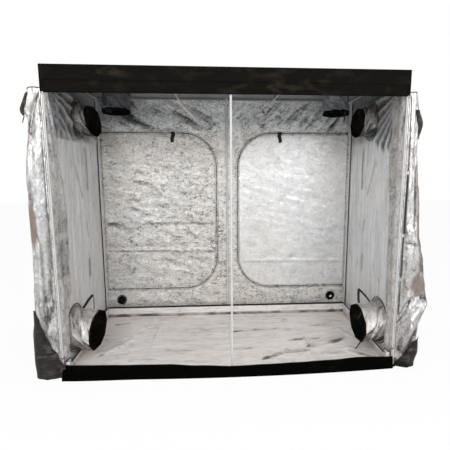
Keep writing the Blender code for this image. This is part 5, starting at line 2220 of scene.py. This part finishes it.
@dataclass
class FrontDoor:
    """A front door, opened and gathered outside the corner post in hanging folds."""

    side: Side
    reach: float = 0.175
    bottom: float = 0.03
    top: float = 1.99
    pitch: float = 0.0135
    layers: int = 8
    inner: float = 0.010
    cloth: float = 0.0014
    columns: int = 216
    rows: int = 150
    cut_width: float = 1.19
    slope: float = 0.06
    hinge_x: float = 1.21925
    face: float = -0.6113
    bend_from: float = 0.012
    bend_to: float = 0.035

    @property
    def gather(self) -> Gather:
        """How this side's door is gathered."""
        return GATHERS[self.side]

    def reach_at(self, level: float) -> float:
        """How far the gathered door reaches out at a height share."""
        return self.reach * along_shares(self.gather.reach, level)

    def height(self, out: float, level: float) -> float:
        """The height of a point at a level, where the top edge falls away outwards."""
        fall = self.slope * smooth_step(level, 0.72, 1.0) * smooth_step(out, 0.05, 0.16)
        return self.bottom + (self.top - self.bottom) * level - fall

    def path(self, share: float, level: float) -> tuple[float, float]:
        """The gathered door's line in plan.

        Args:
            share: How far along the cloth from its sewn edge.
            level: The height share.

        Returns:
            How far out along the front, and how far back.
        """
        place = share * self.layers
        layer = min(int(place), self.layers - 1)
        t = place - layer
        jitter = 0.007 * waver(layer * 3.7, self.side.value * 2.0, level * 4)
        end = self.reach_at(level) - self.pitch / 2 + (jitter - 0.0022 * layer if layer else 0.0)
        start = self.inner if layer else 0.0
        forward = layer % 2 == 0
        u = start + (end - start) * (t if forward else 1 - t)
        v = (layer + smooth_step(t, 0.86, 1.0)) * self.pitch
        bulge = math.sin(math.pi * smooth_step(t, 0.80, 1.0)) * 0.006
        drift = 0.003 * waver(layer * 5.1, t * 2.0, level * 6) if layer else 0.0
        return u + (bulge if forward else -bulge * 0.3), v + drift

    def swell(self, out: float, level: float) -> float:
        """How far the front layer stands forward of its flat line, which is never back of it."""
        seed, reach = self.side.value * 3.0, self.reach_at(level)
        x, z = out, self.bottom + (self.top - self.bottom) * level
        settle = smooth_step(x, 0.0, 0.04) * (1 - smooth_step(x, reach - 0.030, reach))
        drift = waver(seed, 0.0, z * 0.9) * 1.6
        wave = 1 - abs(math.sin(math.pi * x / 0.085 + drift))
        dents = 0.5 - facets(seed, x * 9.0, z * 3.2)
        swell = 0.008 + 0.010 * wave + 0.013 * dents
        for fold in self.gather.folds:
            off = near_line((x, z), fold.line)
            if off < 3 * fold.width:
                swell += fold.rise * bell(off, fold.width)
        if self.side is Side.RIGHT:
            swell += 0.030 * max(0.0, 1 - math.hypot((x - 0.045) * 1.2, (z - 1.01) * 0.9) / 0.06)
        return settle * max(0.0, swell)

    def stain(self, place: Vector, normal: Vector) -> float:
        """The painted reflection: how brown a place is where the foil mirrors the room, and along the right
        door's outer edge.
        """
        out, share = abs(place.x) - self.hinge_x, 0.0
        for x, z, half_x, half_z, depth in self.gather.stains:
            off = math.hypot((out - x) / half_x, (place.z - z) / half_z)
            share = max(share, depth * (1 - smooth_step(off, 0.55, 1.05)))
        if self.side is Side.RIGHT and 0.5 < place.z < 1.5:
            reach = self.reach_at((place.z - self.bottom) / (self.top - self.bottom))
            share = max(share, 0.9 * smooth_step(out, reach - 0.040, reach - 0.022))
        return share

    def hollow(self, place: Vector, normal: Vector) -> float:
        """The painted shade: along the placed folds, on steep slopes, in a black wedge at the right door's
        foot, and a little more towards the bottom.
        """
        out = abs(place.x) - self.hinge_x
        dark = 0.55 * smooth_step(1 - abs(normal.y), 0.16, 0.70)
        if place.y < -0.612:
            for fold in self.gather.folds:
                if fold.shade:
                    dark += fold.shade * bell(near_line((out, place.z), fold.line), fold.width * 0.8)
        low_down = 1 - smooth_step(place.z, 0.25, 1.1)
        if self.side is Side.RIGHT:
            dark += 1.0 - smooth_step(place.z - 0.075 * (1 - out / 0.17), -0.006, 0.004)
        return dark + 0.24 * low_down

    def turned_over(self, turn: Turn) -> Skin:
        """The skin of one turned part, which lies on the front layer."""
        out, seed = self.side.value, self.side.value * 7.0

        def lie(u: float, v: float) -> Vector:
            """A point of the turned part."""
            level = turn.low + v * (turn.high - turn.low)
            inner = along_shares(turn.inner, v)
            outer = along_shares(turn.outer, v) * self.reach_at(level) - 0.002
            x = inner + u * max(0.001, outer - inner)
            z = self.height(x, level) + 0.010 * waver(seed, u * 2, v * 2) * (1 - u)
            lift = 0.004 + 0.010 * math.sin(math.pi * min(1.0, u)) * (0.6 + facets(seed, u * 2.5, v * 3))
            over = 0.014 if x < 0.0 else 0.0
            y = self.face - self.swell(x, level) - lift - over
            return Vector((out * self.hinge_x + out * x, y, z))

        return facing(skin(14, max(8, round((turn.high - turn.low) * 110)), lie), Y)

    def build(self, finishes: Finishes) -> None:
        """Makes the gathered cloth, with its turned edges and the tape of its top edge."""
        word, out = self.side.word, self.side.value
        name = f"front_door_{word}"
        hinge, face = out * self.hinge_x, self.face

        def hang(s: float, t: float) -> Vector:
            """A point of the door."""
            u, v = self.path(s, t)
            place = s * self.layers
            swell = self.swell(u, t) if place < 1 else 0.0
            if place > self.layers - 1:
                swell = -0.5 * self.swell(u, t)
            return Vector((hinge + out * u, face + v - swell, self.height(u, t)))

        bm = skin(self.columns, self.rows, hang)
        bm.normal_update()
        front = [f for f in bm.faces if f.calc_center_median().y < face]
        total = sum((f.normal * f.calc_area() for f in front), Vector())
        if total.y > 0:
            bmesh.ops.reverse_faces(bm, faces=bm.faces)
        parts = [bm] + [self.turned_over(turn) for turn in self.gather.turns]
        mesh = marked(marked(joined(parts, name, 60), self.hollow), self.stain, "stain")
        films = [finishes.door, finishes.door_canvas]
        cloth = piece(f"{name}_cloth", mesh, films, "silver_lining", body="", replaces=[name])
        start, end = hinge - out * self.bend_from, hinge + out * self.bend_to
        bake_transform(cloth)
        thicken(cloth, self.cloth)
        self.top - self.bottom
        head = [hang(i / 24 / self.layers, 0.998) + Vector((0, -0.0016, 0)) for i in range(24)]
        tube(f"{name}_head_tape", head, 0.0018, finishes.webbing, body=name)
        log.info("%s hangs in %d layers", name, self.layers)


def dress_poles(finishes: Finishes) -> None:
    """Gives every tube, connector and bar of the frame its powder coat, with a darker copy on the back top
    beams as painted shade.
    """
    for name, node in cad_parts.items():
        if name.startswith(POLES):
            node.data.materials.clear()
            in_shade = name.startswith("top_beam_back")
            node.data.materials.append(finishes.dull_steel if in_shade else finishes.steel)


def main() -> None:
    """Builds the stage and every piece, in order."""
    logging.basicConfig(level=logging.INFO, format="%(name)s: %(message)s")
    noise.seed_set(NOISE_SEED)
    Studio().build()
    finishes = Finishes()
    for side in Side:
        StayCord(side).build(finishes)
    dress_poles(finishes)
    for side in Side:
        SideWall(side).build(finishes)
        ZipFlap(side).build(finishes)
    BackWall().build(finishes)
    RoofAndFloor().build(finishes)
    Header().build(finishes)
    Sill().build(finishes)
    Tray().build(finishes)
    for side in Side:
        for port in (LOWER_PORT, UPPER_PORT, ROOF_PORT):
            DuctSleeve(port, side).build(finishes)
        WebbingLoop(side).build(finishes)
        FrontDoor(side).build(finishes)


if __name__ == "__main__":
    main()
